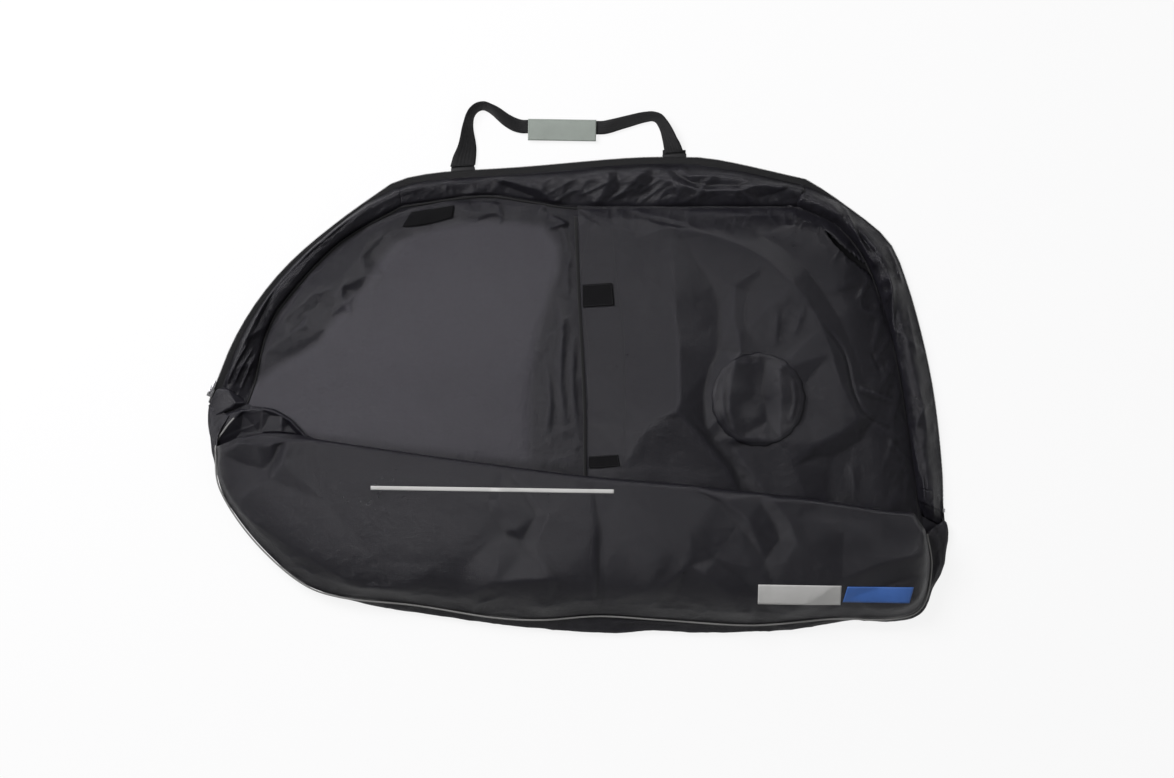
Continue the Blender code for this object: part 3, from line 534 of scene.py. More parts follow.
def crests(points: Points) -> Points:
    """Measures how sharply a grid of cloth bends.

    Args:
        points: rows of points.

    Returns:
        About 1 on a sharp ridge, 0 on flat cloth and -1 in a crease.
    """
    z = points[:, :, 2]
    step = np.linalg.norm(np.diff(points, axis=1), axis=2).mean()
    bend = np.zeros_like(z)
    bend[:, 1:-1] += 2 * z[:, 1:-1] - z[:, :-2] - z[:, 2:]
    bend[1:-1] += 2 * z[1:-1] - z[:-2] - z[2:]
    return np.clip(bend / (0.35 * step), -1, 1)


def tube(points: Points, radius: float, sides: int, closed: bool = False) -> Mesh:
    """Makes a round cord along a line.

    Args:
        points: the line.
        radius: the cord's radius.
        sides: how many faces go round it.
        closed: whether it runs back to its start.

    Returns:
        The mesh.
    """
    way = np.gradient(points, axis=0)
    if closed:
        way = np.roll(points, -1, axis=0) - np.roll(points, 1, axis=0)
    way /= np.linalg.norm(way, axis=1)[:, None]
    side = np.cross(way, (0, 0, 1.0))
    side /= np.linalg.norm(side, axis=1)[:, None]
    up = np.cross(side, way)
    turns = np.linspace(0, 2 * math.pi, sides + 1)
    ring = np.cos(turns)[None, :, None] * side[:, None] + np.sin(turns)[None, :, None] * up[:, None]
    grid = points[:, None] + ring * radius
    if closed:
        grid = np.concatenate([grid, grid[:1]])
    mesh = sheet_mesh(grid, closed=True)
    with editing(mesh) as bm:
        bmesh.ops.holes_fill(bm, edges=[e for e in bm.edges if e.is_boundary], sides=sides)
        bmesh.ops.recalc_face_normals(bm, faces=bm.faces)
    return mesh


def coil(line: Points, short: float, pitch: float = 0.0026, wire: float = 0.00045) -> Mesh:
    """Winds the coil of a zip along a line.

    Args:
        line: the coil's middle.
        short: how far it stops before the line's end.
        pitch: how far apart its turns are.
        wire: its wire's radius.

    Returns:
        The mesh.
    """
    size = lengths(line)[-1]
    turns = int(size / pitch)
    middle = at(line, np.linspace(0.0015 / size, 1 - short / size, turns * 7 + 1))
    way = np.gradient(middle, axis=0)
    way /= np.linalg.norm(way, axis=1)[:, None]
    flat = np.cross(way, (0, 0, 1.0))
    turn = np.linspace(0, turns * 2 * math.pi, len(middle))[:, None]
    ring = flat * np.cos(turn) + np.array([0, 0, 1.0]) * np.sin(turn)
    return tube(middle + ring * (PLAN.coil_radius - wire), wire, 4)


def stitches(line: Points, pitch: float = 0.0045, radius: float = 0.0005, share: float = 0.72) -> Mesh:
    """Sews a row of stitches along a line.

    Args:
        line: the seam, just above its cloth.
        pitch: the length of a stitch and its gap.
        radius: the thread's radius.
        share: the share of the pitch that a stitch takes.

    Returns:
        The mesh.
    """
    count = max(2, int(lengths(line)[-1] / pitch))
    ends = spaced(line, count * 2)
    mesh = bpy.data.meshes.new("stitches")
    with editing(mesh) as bm:
        for a, b in zip(ends[0:-1:2], ends[1::2]):
            turned = Vector(b - a).to_track_quat("X", "Z").to_matrix().to_4x4()
            place = Matrix.Translation(Vector((a + b) / 2)) @ turned
            place = place @ Matrix.Diagonal((pitch * share / 2, radius, radius, 1))
            bmesh.ops.create_icosphere(bm, subdivisions=1, radius=1, matrix=place)
    return mesh


def rounded(node: str, bevel: float) -> Mesh:
    """Copies a CAD node's mesh and rounds its edges.

    Args:
        node: the CAD node.
        bevel: the width of its rounded edges.

    Returns:
        The mesh.
    """
    mesh = bpy.data.meshes.new(node)
    with editing(mesh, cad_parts[node].data) as bm:
        bmesh.ops.remove_doubles(bm, verts=bm.verts, dist=WELD)
        bmesh.ops.dissolve_limit(bm, angle_limit=math.radians(2), verts=bm.verts, edges=bm.edges)
        sharp = [e for e in bm.edges if e.is_manifold and e.calc_face_angle() > SHARP]
        bmesh.ops.bevel(bm, geom=sharp, offset=bevel, affect="EDGES", segments=2, profile=0.5,
                        material=-1, clamp_overlap=True)
    return mesh


def flat_size(points: Points) -> tuple[float, float]:
    """Returns the width and length of a grid of cloth laid flat."""
    across = np.linalg.norm(np.diff(points, axis=1), axis=2).sum(1).mean()
    up = np.linalg.norm(np.diff(points, axis=0), axis=2).sum(0).mean()
    return float(across), float(up)


def area_of(points: Points) -> float:
    """Returns the area of a grid of cloth."""
    a, b = np.diff(points, axis=1)[:-1], np.diff(points, axis=0)[:, :-1]
    return float(np.linalg.norm(np.cross(a, b), axis=2).sum())


def fallen(piece: Piece, x: Points, y: Points) -> Points:
    """Returns the heights at which things dropped on a piece come to lie."""
    tree = BVHTree.FromObject(piece, bpy.context.evaluated_depsgraph_get())
    return np.array([[tree.ray_cast(Vector((a, b, 1)), Vector((0, 0, -1)))[0].z
                      for a, b in zip(ra, rb)] for ra, rb in zip(x, y)])


class Pattern(Enum):
    """The fine relief of a surface."""

    PLAIN = "plain weave"
    RIBBED = "ribbed webbing"
    TWILL = "twill tape"
    HOOKS = "hook tape"
    CELLS = "foam cells"
    BRUSHED = "brushed metal"
    GRAIN = "moulded grain"


class Graph:
    """Writes the nodes of one material."""

    def __init__(self, name: str) -> None:
        """Starts an empty material with its shader.

        Args:
            name: the material's name.
        """
        self.material = bpy.data.materials.new(name)
        self.material.use_nodes = True
        self.tree = self.material.node_tree
        self.shader = self.tree.nodes["Principled BSDF"]
        self.places = self.tree.nodes.new("ShaderNodeTexCoord")

    def put(self, socket: Socket, value: object) -> None:
        """Links an output to a socket, or sets the socket's own value.

        Args:
            socket: the socket.
            value: the output or the value.
        """
        if isinstance(value, Socket):
            self.tree.links.new(value, socket)
        else:
            socket.default_value = value

    def node(self, kind: str, inputs: dict, **settings: object) -> bpy.types.Node:
        """Adds a node.

        Args:
            kind: its type, without the ShaderNode before it.
            inputs: its inputs' values or links, by name or number.
            settings: its own settings.

        Returns:
            The node.
        """
        made = self.tree.nodes.new("ShaderNode" + kind)
        for key, value in settings.items():
            setattr(made, key, value)
        for key, value in inputs.items():
            self.put(made.inputs[key], value)
        return made

    def sum(self, operation: str, a: object, b: object = 0.0, c: object = 0.0) -> Socket:
        """Returns the output of a Math node."""
        return self.node("Math", {0: a, 1: b, 2: c}, operation=operation).outputs[0]

    def noise(self, scale: float, detail: float = 2.0, warp: float = 0.0) -> Socket:
        """Returns noise on the object's own coordinates, from 0 to 1."""
        inputs = {"Vector": self.places.outputs["Object"], "Scale": scale, "Detail": detail,
                  "Distortion": warp}
        return self.node("TexNoise", inputs).outputs[0]

    def mark(self, name: str) -> Socket:
        """Returns a value that the mesh carries at its points."""
        return self.node("Attribute", {}, attribute_name=name).outputs["Fac"]

    def waves(self, place: Socket, pitch: float) -> Socket:
        """Returns a sine of a place, one wave for each pitch."""
        return self.sum("SINE", self.sum("MULTIPLY", place, 2 * math.pi / pitch))

    def bump(self, height: object, depth: float, below: object = None) -> Socket:
        """Raises the surface by a height.

        Args:
            height: the height, about 0 to 1.
            depth: how far 1 raises it, in metres.
            below: the normal that it comes on top of, if any.

        Returns:
            The raised normal.
        """
        inputs = {"Height": height, "Distance": depth, "Strength": 1.0}
        if below is not None:
            inputs["Normal"] = below
        return self.node("Bump", inputs).outputs[0]


@dataclass(frozen=True)
class Finish:
    """One finish of the bag.

    Attributes:
        slot: the record's material slot.
        colour: its colour, linear.
        roughness: how matte it is.
        specular: how strongly it reflects.
        pattern: its fine relief.
        pitch: the relief's pitch in metres.
        depth: the relief's depth in metres.
        crush: depth of its fine crumples in metres.
        mottle: share by which its colour wanders.
        painted_crest_shading: how much lighter its ridges and darker its creases are painted, as painted
            highlight and painted shade.
        sheen: strength of its fabric sheen.
        metallic: 1 for metal.
        lit_pad_colour: colour of the stretch that lies on the pad, where it differs; its lighter tone is
            partly the pad's paler cloth and partly painted light of the flat cloth catching the lamp.
    """

    slot: str
    colour: tuple[float, float, float]
    roughness: float
    specular: float = 0.5
    pattern: Pattern = Pattern.PLAIN
    pitch: float = 0.0012
    depth: float = 0.0002
    crush: float = 0.0
    mottle: float = 0.15
    painted_crest_shading: float = 0.0
    sheen: float = 0.0
    metallic: float = 0.0
    lit_pad_colour: Optional[tuple[float, float, float]] = None

    def relief(self, g: Graph) -> Socket:
        """Writes the fine relief.

        Args:
            g: the material's nodes.

        Returns:
            Its height, about -1 to 1.
        """
        flat = g.node("SeparateXYZ", {0: g.places.outputs["UV"]}).outputs
        if self.pattern is Pattern.PLAIN:
            return g.sum("MULTIPLY", g.waves(flat[0], self.pitch), g.waves(flat[1], self.pitch))
        if self.pattern is Pattern.RIBBED:
            ribs = g.waves(flat[1], self.pitch)
            return g.sum("MULTIPLY_ADD", g.waves(flat[0], self.pitch * 2), 0.4, ribs)
        if self.pattern is Pattern.TWILL:
            return g.waves(g.sum("ADD", flat[0], flat[1]), self.pitch)
        inputs = {"Vector": g.places.outputs["Object"], "Scale": 1 / self.pitch}
        if self.pattern in (Pattern.HOOKS, Pattern.CELLS):
            return g.sum("SUBTRACT", 0.5, g.node("TexVoronoi", inputs).outputs["Distance"])
        if self.pattern is Pattern.BRUSHED:
            stretched = {0: inputs["Vector"], "Scale": (1.0, 12.0, 12.0)}
            inputs["Vector"] = g.node("Mapping", stretched).outputs[0]
        return g.node("TexNoise", {**inputs, "Detail": 3.0}).outputs[0]

    def make(self) -> bpy.types.Material:
        """Writes the material.

        Returns:
            The material, named for its slot.
        """
        g = Graph(self.slot + "_look")
        fine = self.relief(g)
        broad = g.sum("SUBTRACT", g.noise(7.0, 4.0, 0.6), 0.5)
        small = g.sum("SUBTRACT", g.noise(95.0, 3.0), 0.5)
        tone = g.sum("MULTIPLY_ADD", broad, 2 * self.mottle, 1.0)
        tone = g.sum("MULTIPLY_ADD", small, self.mottle, tone)
        tone = g.sum("MULTIPLY_ADD", fine, 0.06, tone)
        # painted highlight on ridges and painted shade in creases, from the cloth's bend
        if self.painted_crest_shading:
            tone = g.sum("MULTIPLY_ADD", g.mark("crest"), self.painted_crest_shading, tone)
        colour: object = (*self.colour, 1.0)
        # the stretch over the pad takes a lighter colour, partly painted light
        if self.lit_pad_colour:
            inputs = {"Factor": g.mark("pad"), 6: colour, 7: (*self.lit_pad_colour, 1.0)}
            colour = g.node("Mix", inputs, data_type="RGBA").outputs[2]
        scaled = g.node("VectorMath", {0: (0, 0, 0), "Scale": tone}, operation="SCALE")
        g.put(scaled.inputs[0], colour if self.lit_pad_colour else self.colour)
        g.put(g.shader.inputs["Base Color"], scaled.outputs[0])
        rough = g.sum("MULTIPLY_ADD", broad, 0.14, self.roughness)
        rough = g.sum("MULTIPLY_ADD", small, 0.16, rough)
        g.put(g.shader.inputs["Roughness"], rough)
        normal = None
        if self.crush:
            soft = g.sum("MULTIPLY_ADD", g.noise(140.0, 2.0, 0.4), 0.35, g.noise(42.0, 3.0, 0.35))
            normal = g.bump(soft, self.crush)
        g.put(g.shader.inputs["Normal"], g.bump(fine, self.depth, normal))
        for name, value in (("Specular IOR Level", self.specular), ("Metallic", self.metallic),
                            ("Sheen Weight", self.sheen), ("Sheen Roughness", 0.4)):
            g.shader.inputs[name].default_value = value
        return g.material


class Looks(Enum):
    """The bag's finishes."""

    SHELL = Finish("shell_nylon", (0.0092, 0.0087, 0.012), 0.33, 0.36, crush=0.0009, mottle=0.16,
                   painted_crest_shading=0.3, pitch=0.0011, depth=0.00012)
    # the lining's lighter colour over the pad is partly painted light
    LINING = Finish("lining_cloth", (0.0088, 0.0083, 0.0117), 0.34, 0.38, crush=0.0014, mottle=0.16,
                    painted_crest_shading=0.3, pitch=0.0014, depth=0.00015, lit_pad_colour=(0.0345, 0.0327, 0.04))
    FOAM = Finish("pad_foam", (0.18, 0.18, 0.18), 0.92, 0.2, Pattern.CELLS, 0.0014, 0.0004)
    TAPE = Finish("binding_tape", (0.013, 0.013, 0.0135), 0.72, 0.3, Pattern.TWILL, 0.0012, 0.0002,
                  sheen=0.05)
    COIL = Finish("zip_coil", (0.012, 0.012, 0.013), 0.38, 0.5, Pattern.GRAIN, 0.0006, 0.0001)
    METAL = Finish("zip_metal", (0.36, 0.36, 0.37), 0.34, 0.5, Pattern.BRUSHED, 0.0009, 0.00005,
                   metallic=1.0, mottle=0.08)
    HOOK = Finish("hook_tape", (0.0062, 0.0062, 0.0068), 0.94, 0.15, Pattern.HOOKS, 0.0011, 0.0007,
                  mottle=0.2)
    PLASTIC = Finish("guard_plastic", (0.02, 0.02, 0.02), 0.5, 0.5, Pattern.GRAIN, 0.0008,
                     0.0001)
    PIPING = Finish("piping", (0.27, 0.27, 0.26), 0.55, 0.4, Pattern.TWILL, 0.0016, 0.0002,
                    mottle=0.3)
    SILVER = Finish("reflective_silver", (0.5, 0.5, 0.48), 0.42, 0.5, Pattern.PLAIN, 0.0011,
                    0.00006, mottle=0.07)
    BLUE = Finish("blue_print", (0.045, 0.13, 0.4), 0.52, 0.4, Pattern.PLAIN, 0.0011, 0.00006,
                  mottle=0.08)
    WEBBING = Finish("webbing", (0.0125, 0.0125, 0.013), 0.66, 0.32, Pattern.RIBBED, 0.0024, 0.0004,
                     mottle=0.12, sheen=0.05)
    GRIP = Finish("grip_cloth", (0.31, 0.345, 0.31), 0.82, 0.25, Pattern.PLAIN, 0.0022, 0.0003,
                  mottle=0.1, sheen=0.1)
    THREAD = Finish("binding_tape", (0.02, 0.02, 0.021), 0.6, 0.4, Pattern.TWILL, 0.0008, 0.0001)


class Workshop:
    """Makes each finish once, and dresses and places the pieces."""

    def __init__(self) -> None:
        """Starts with no finish made."""
        self.made: dict[Looks, bpy.types.Material] = {}

    def of(self, look: Looks) -> bpy.types.Material:
        """Returns the material of a finish."""
        if look not in self.made:
            self.made[look] = look.value.make()
        return self.made[look]

    def place(self, name: str, mesh: Mesh, look: Looks, body: str, *nodes: str) -> Piece:
        """Puts a mesh in the scene as a piece of the bag.

        Args:
            name: the piece's name.
            mesh: its mesh, in the frame's own place.
            look: its finish, which names its slot.
            body: the body that it rides on, or "" where it is left on no body.
            nodes: the CAD nodes that it stands for.

        Returns:
            The piece.
        """
        mesh.name = name
        mesh.materials.append(self.of(look))
        mesh.shade_smooth()
        made = linked(name, mesh)
        LOG.info("%s: %d faces", name, len(mesh.polygons))
        if body:
            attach(made, body)
        if nodes:
            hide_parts(*nodes)
        return made

    def cloth(self, name: str, points: Points, look: Looks, wall: float, body: str, node: str = "",
              held: str = "", rests_on: Sequence[str] = (),
              flat: Optional[tuple[float, float]] = None, pad: Optional[Points] = None) -> Piece:
        """Makes a closed sheet of cloth whose middle runs through a grid of points.

        Args:
            name: the piece's name.
            points: rows of points.
            look: its finish.
            wall: how thick it is.
            body: the body that it rides on, or "" where it is left on no body.
            node: the CAD node that it stands for, if any.
            held: how it lies, or "" for a tape or a layer.
            rests_on: what it lies on; not used.
            flat: the size that it was cut to, or nothing for its own size laid flat.
            pad: how far each point lies on a pad, for the finish to read.

        Returns:
            The piece.
        """
        mesh = sheet_mesh(points)
        # crest: the cloth's bend, which the finishes paint as highlight on ridges and shade in creases
        for key, values in (("pad", pad), ("crest", crests(points))):
            if values is not None:
                layer = mesh.attributes.new(key, "FLOAT", "POINT")
                layer.data.foreach_set("value", np.ascontiguousarray(values, np.float32).ravel())
        made = self.place(name, mesh, look, body, *([node] if node else []))
        thick = made.modifiers.new("wall", "SOLIDIFY")
        thick.thickness, thick.offset = wall, 0
        width, length = flat or flat_size(points)
        if held and min(width, length) >= LEAST_SIDE:
            area = float(np.clip(area_of(points), LEAST_AREA * width * length, width * length))
        return made

    def seam(self, name: str, line: Points, body: str, pitch: float = 0.0045,
             look: Looks = Looks.THREAD) -> None:
        """Sews a row of stitches along a line, on the body that carries it."""
        self.place(name, stitches(line, pitch), look, body)

    def part(self, node: str, kind: str, look: Looks, body: str, bevel: float = 0.0003) -> None:
        """Places a CAD node's copy with rounded edges, named for the node and what it is made of."""
        mesh = rounded(node, bevel)
        self.place(f"{node}_{kind}", mesh, look, body, node)
        mesh.set_sharp_from_angle(angle=SHARP)


@dataclass
class Back:
    """The back panel, its foam, the lining over it, the binding of its seam and a dark patch."""

    kit: Workshop
    foam: float = 0.005
    lining: float = 0.001
    gap: float = 0.0003
    fine: float = 0.0045
    coarse: float = 0.015
    size: tuple[float, float] = (1.22, 0.8)
    cut: tuple[float, float] = (1.3868, 0.8494)
    sag: float = 0.00025
    binding_radius: float = 0.0018
    patch_lift: float = 0.0022
    corner_marks: Line = ((-389, -335), (-240, 402), (296, 400), (456, -429))
    pad_edge: Line = ((-636, -28), (-636, -20), (-572, 18), (-514, 56), (-474, 116), (-426, 162),
        (-388, 222), (-358, 254), (-294, 276), (-214, 292), (-144, 292), (-68, 282), (-48, 256),
        (-32, 234), (-32, 206), (-58, 134), (-78, 54), (-92, -46), (-92, -206))
    loose: Facets = Facets((
        ((-654, -50), (-642, 14), (-614, 90), (-562, 162), (-498, 226), (-430, 278), (-358, 318),
         (-294, 330), (-214, 338), (-154, 334), (-74, 326)),
        ((-622, -34), (-574, -2), (-518, 30), (-482, 74), (-450, 102), (-410, 138), (-386, 182),
         (-362, 222), (-338, 246), (-294, 266), (-214, 282), (-154, 282), (-74, 274)),
        ((-618, 30, 3), (-578, 66, 6), (-542, 88, 8), (-528, 74, 3)),
        ((-622, -2), (-578, 24), (-526, 52, 1)),
        ((-586, 98, 4), (-558, 118, 6), (-530, 146, 7)),
        ((-562, 78, 1), (-538, 110, 1)),
        ((-530, 146, 7), (-510, 168, 8), (-490, 158, 9), (-468, 162, 9), (-464, 126, 9)),
        ((-518, 122, 1), (-490, 104), (-458, 108, 1)),
        ((-486, 190, 5), (-458, 210, 8), (-430, 226, 9), (-420, 182, 8)),
        ((-462, 154, 1), (-438, 150), (-410, 154, 1)),
        ((-454, 238, 4), (-410, 270, 8), (-382, 282, 9), (-372, 258, 8)),
        ((-406, 210), (-378, 218, 1)),
        ((-354, 290, 6), (-350, 270, 6)),
        ((-262, 302, 1), (-240, 320, 6), (-224, 342, 10), (-214, 310, 7), (-182, 306, 6)),
        ((-202, 290, 2), (-178, 298, 1)),
        ((-166, 326, 7), (-154, 306, 6)),
        ((-146, 306, 1), (-142, 290)),
    ), 2.6)
    folds: tuple[Fold, ...] = (
        Fold(((-64, 278), (-42, 282), (-16, 290)), 5, 10, 12),
        Fold(((-32, 282), (-24, 260), (-18, 226)), 5, 8, 8),
        Fold(((-58, 304), (-34, 292), (-14, 282)), 5, 8, 14),
        Fold(((-74, 316), (-42, 304), (-16, 300)), -4, 12, 10),
        Fold(((-10, 234), (-22, 184), (-16, 134)), 4, 12, 14),
        Fold(((-42, 154), (-30, 74), (-34, -26), (-22, -126)), 5, 20, 18),
        Fold(((-6, 74), (-10, -26), (0, -126)), 4, 14, 12),
        Fold(((-64, 14), (-54, -66), (-64, -146)), 4, 18, 14),
        Fold(((-294, 262), (-214, 278), (-114, 270)), 2, 26, 20, 0.3, Shape.ROUND),
        Fold(((-554, -30), (-454, -10), (-354, -18)), 1.5, 60, 40, 0.3, Shape.ROUND),
        Fold(((-374, 154), (-314, 54), (-294, -66)), 1.5, 60, 60, 0.3, Shape.ROUND),
        Fold(((-214, 234), (-194, 134), (-214, 14)), 1.2, 70, 60, 0.3, Shape.ROUND),
    )

    def corners(self) -> tuple[Points, list[float]]:
        """Finds the back's corners.

        Returns:
            The outline, clockwise, and the shares along it of its four corners.
        """
        line = PLAN.outline()
        along = lengths(line) / lengths(line)[-1]
        marks = [PLAN.place(s) for s in self.corner_marks]
        return line, [float(along[np.linalg.norm(line - m, axis=1).argmin()]) for m in marks]

    def field(self, across: Points, up: Points, inset: float = 0.0) -> Points:
        """Spreads a grid over the back.

        Args:
            across: shares from its left side to its right side.
            up: shares from its foot to its top.
            inset: how far its edge is drawn in.

        Returns:
            Plan points, one row for each share up.
        """
        line, (low_left, high_left, high_right, low_right) = self.corners()
        ring = line - outward(line) * inset

        def side(start: float, end: float, shares: Points) -> Points:
            """Returns points of one side of the ring."""
            return at(ring, (start + (end - start) * shares) % 1.0)

        left = side(low_left - 1.0 if low_left > high_left else low_left, high_left, up)
        right = side(low_right, high_right, up)
        top = side(high_left, high_right, across)
        foot = side(low_left, low_right, across)
        return patch(left, right, foot, top, across, up)

    def spacing(self, fine: tuple[float, float], size: float) -> Points:
        """Spaces shares closely over one stretch and widely elsewhere.

        Args:
            fine: where the close stretch starts and ends.
            size: the whole length in metres.

        Returns:
            The shares from 0 to 1.
        """
        start, end = fine
        parts = []
        for low, high, step in ((0.0, start, self.coarse), (start, end, self.fine),
                                (end, 1.0, self.coarse)):
            count = max(1, round((high - low) * size / step)) if high > low else 0
            parts.append(np.linspace(low, high, count, endpoint=False))
        return np.concatenate([*parts, [1.0]])

    def lining_points(self) -> tuple[Points, Points]:
        """Shapes the lining.

        Returns:
            Its points, and how far each lies on the pad.
        """
        plan = self.field(self.spacing((0.0, 0.58), self.size[0]), self.spacing((0.36, 1.0), self.size[1]))
        x, y = plan[..., 0], plan[..., 1]
        apart, side, _ = nearest(x, y, smooth(self.pad_edge) * MM)
        inside = -side * apart
        pad = ease(inside / 0.01 * 0.5 + 0.5)
        shown = ease((0.045 - x) / 0.02) * ease((y + 0.14 + (x + 0.65) * 0.12) / 0.03)
        clear = ease(nearest(x, y, self.corners()[0])[0] / 0.012)
        loose = (1 - ease(inside / 0.04 + 0.8)) * shown
        z = relief(x, y, self.folds) * (0.35 + 0.65 * (1 - pad))
        z += shown * self.loose.lift(x, y)
        z += loose * (crumple(x, y, 0.055, 3, 2.2, 52) * 0.003 + crumple(x, y, 0.022, 5) * 0.0012)
        z += pad * (wander(x, y, 0.16, 8) * 0.0012 + wander(x, y, 0.035, 9) * 0.0003)
        z += pad * ease(inside / 0.02) * 0.0015
        low = PLAN.lining_top - self.lining / 2
        z = low + np.clip(z * shown * clear, -0.0002, 0.012)
        # the pad share also sets where the lining takes its lighter colour, partly painted light
        return np.dstack([plan, z]), pad * shown

    def make(self) -> None:
        """Builds and dresses the back."""
        shares = self.spacing((0.0, 0.0), self.size[0]), self.spacing((0.0, 0.0), self.size[1])
        panel = self.field(*shares)
        sag = wander(panel[..., 0], panel[..., 1], 0.12, 21) * self.sag
        points = np.dstack([panel, PLAN.cloth / 2 + sag + self.sag])
        self.kit.cloth("back_panel_cloth", points, Looks.SHELL, PLAN.cloth - 0.0002, "bag_back",
                       "back_panel", "laid", (), self.cut)
        self.make_foam(shares)
        points, pad = self.lining_points()
        lining = self.kit.cloth("back_lining_cloth", points, Looks.LINING, self.lining, "bag_back",
                                "back_lining", "laid", ["back_foam_layer"], self.cut, pad)
        outline, _ = self.corners()
        ring = outline[:-1] - outward(outline)[:-1] * 0.004
        ring = spaced(np.vstack([ring, ring[:1]]), 260)[:-1]
        height = PLAN.lining_top + self.gap + self.binding_radius
        line = np.column_stack([ring, np.full(len(ring), height)])
        self.kit.place("back_seam_piping", tube(line, self.binding_radius, 8, closed=True), Looks.TAPE,
                       "bag_back", "back_seam_binding")
        self.make_patch(lining)

    def make_foam(self, shares: tuple[Points, Points]) -> None:
        """Builds the foam layer.

        Args:
            shares: the grid's shares across and up.
        """
        plan = self.field(*shares, 0.006)
        points = np.dstack([plan, np.full(plan.shape[:2], PLAN.cloth + self.gap + self.foam / 2)])
        made = self.kit.cloth("back_foam_layer", points, Looks.FOAM, self.foam - self.gap, "bag_back",
                              "back_foam_pad")

    def make_patch(self, lining: Piece) -> None:
        """Sews the dark patch on the lining.

        Args:
            lining: the cloth that it lies on.
        """
        a, b, c, d, e = (PLAN.place(s) for s in PLAN.patch)
        across, up = np.linspace(0, 1, 26)[None, :, None], np.linspace(0, 1, 12)[:, None, None]
        foot = a * (1 - across) + (e * (1 - across) + d * across) * across
        top = b * (1 - across) + c * across
        plan = foot * (1 - up) + top * up
        z = fallen(lining, plan[..., 0], plan[..., 1])
        for _ in range(3):
            z[1:-1, 1:-1] = (z[:-2, 1:-1] + z[2:, 1:-1] + z[1:-1, :-2] + z[1:-1, 2:]) / 4
        points = np.dstack([plan, z + self.patch_lift])
        self.kit.cloth("lining_patch_cloth", points, Looks.HOOK, 0.0012, "bag_back", "lining_patch",
                       "laid", ["back_lining_cloth"])


@dataclass(frozen=True)
class GussetLength:
    """One length of the gusset between the back's seam and the zip tape.

    Attributes:
        name: the piece's name.
        node: the CAD node that it replaces.
        inner: its seam on the back, in thousandths of the bag's length and height.
        first: which stretch of the zip line it follows.
        rises: how high it bulges at its start, its middle and its end.
        spans: how many spans it has along its length.
        tails: how far it runs on under its neighbour at its start and its end.
        laps: how far it reaches over the zip tape at 0, 0.1, 0.88 and 1 of its length.
        profile: its section, as shares of its width and of its rise.
    """

    name: str
    node: str
    inner: Line
    first: int
    rises: tuple[float, float, float]
    spans: int
    tails: tuple[tuple[float, float], tuple[float, float]] = ((0.0, 0.0), (0.0, 0.0))
    laps: tuple[float, float, float, float] = (0.003, 0.003, 0.003, 0.003)
    profile: Line = ((0.0, 0.0), (0.05, 0.32), (0.14, 0.56), (0.38, 0.8), (0.64, 1.0),
                     (0.8, 0.92), (0.92, 0.5), (1.0, 0.14))


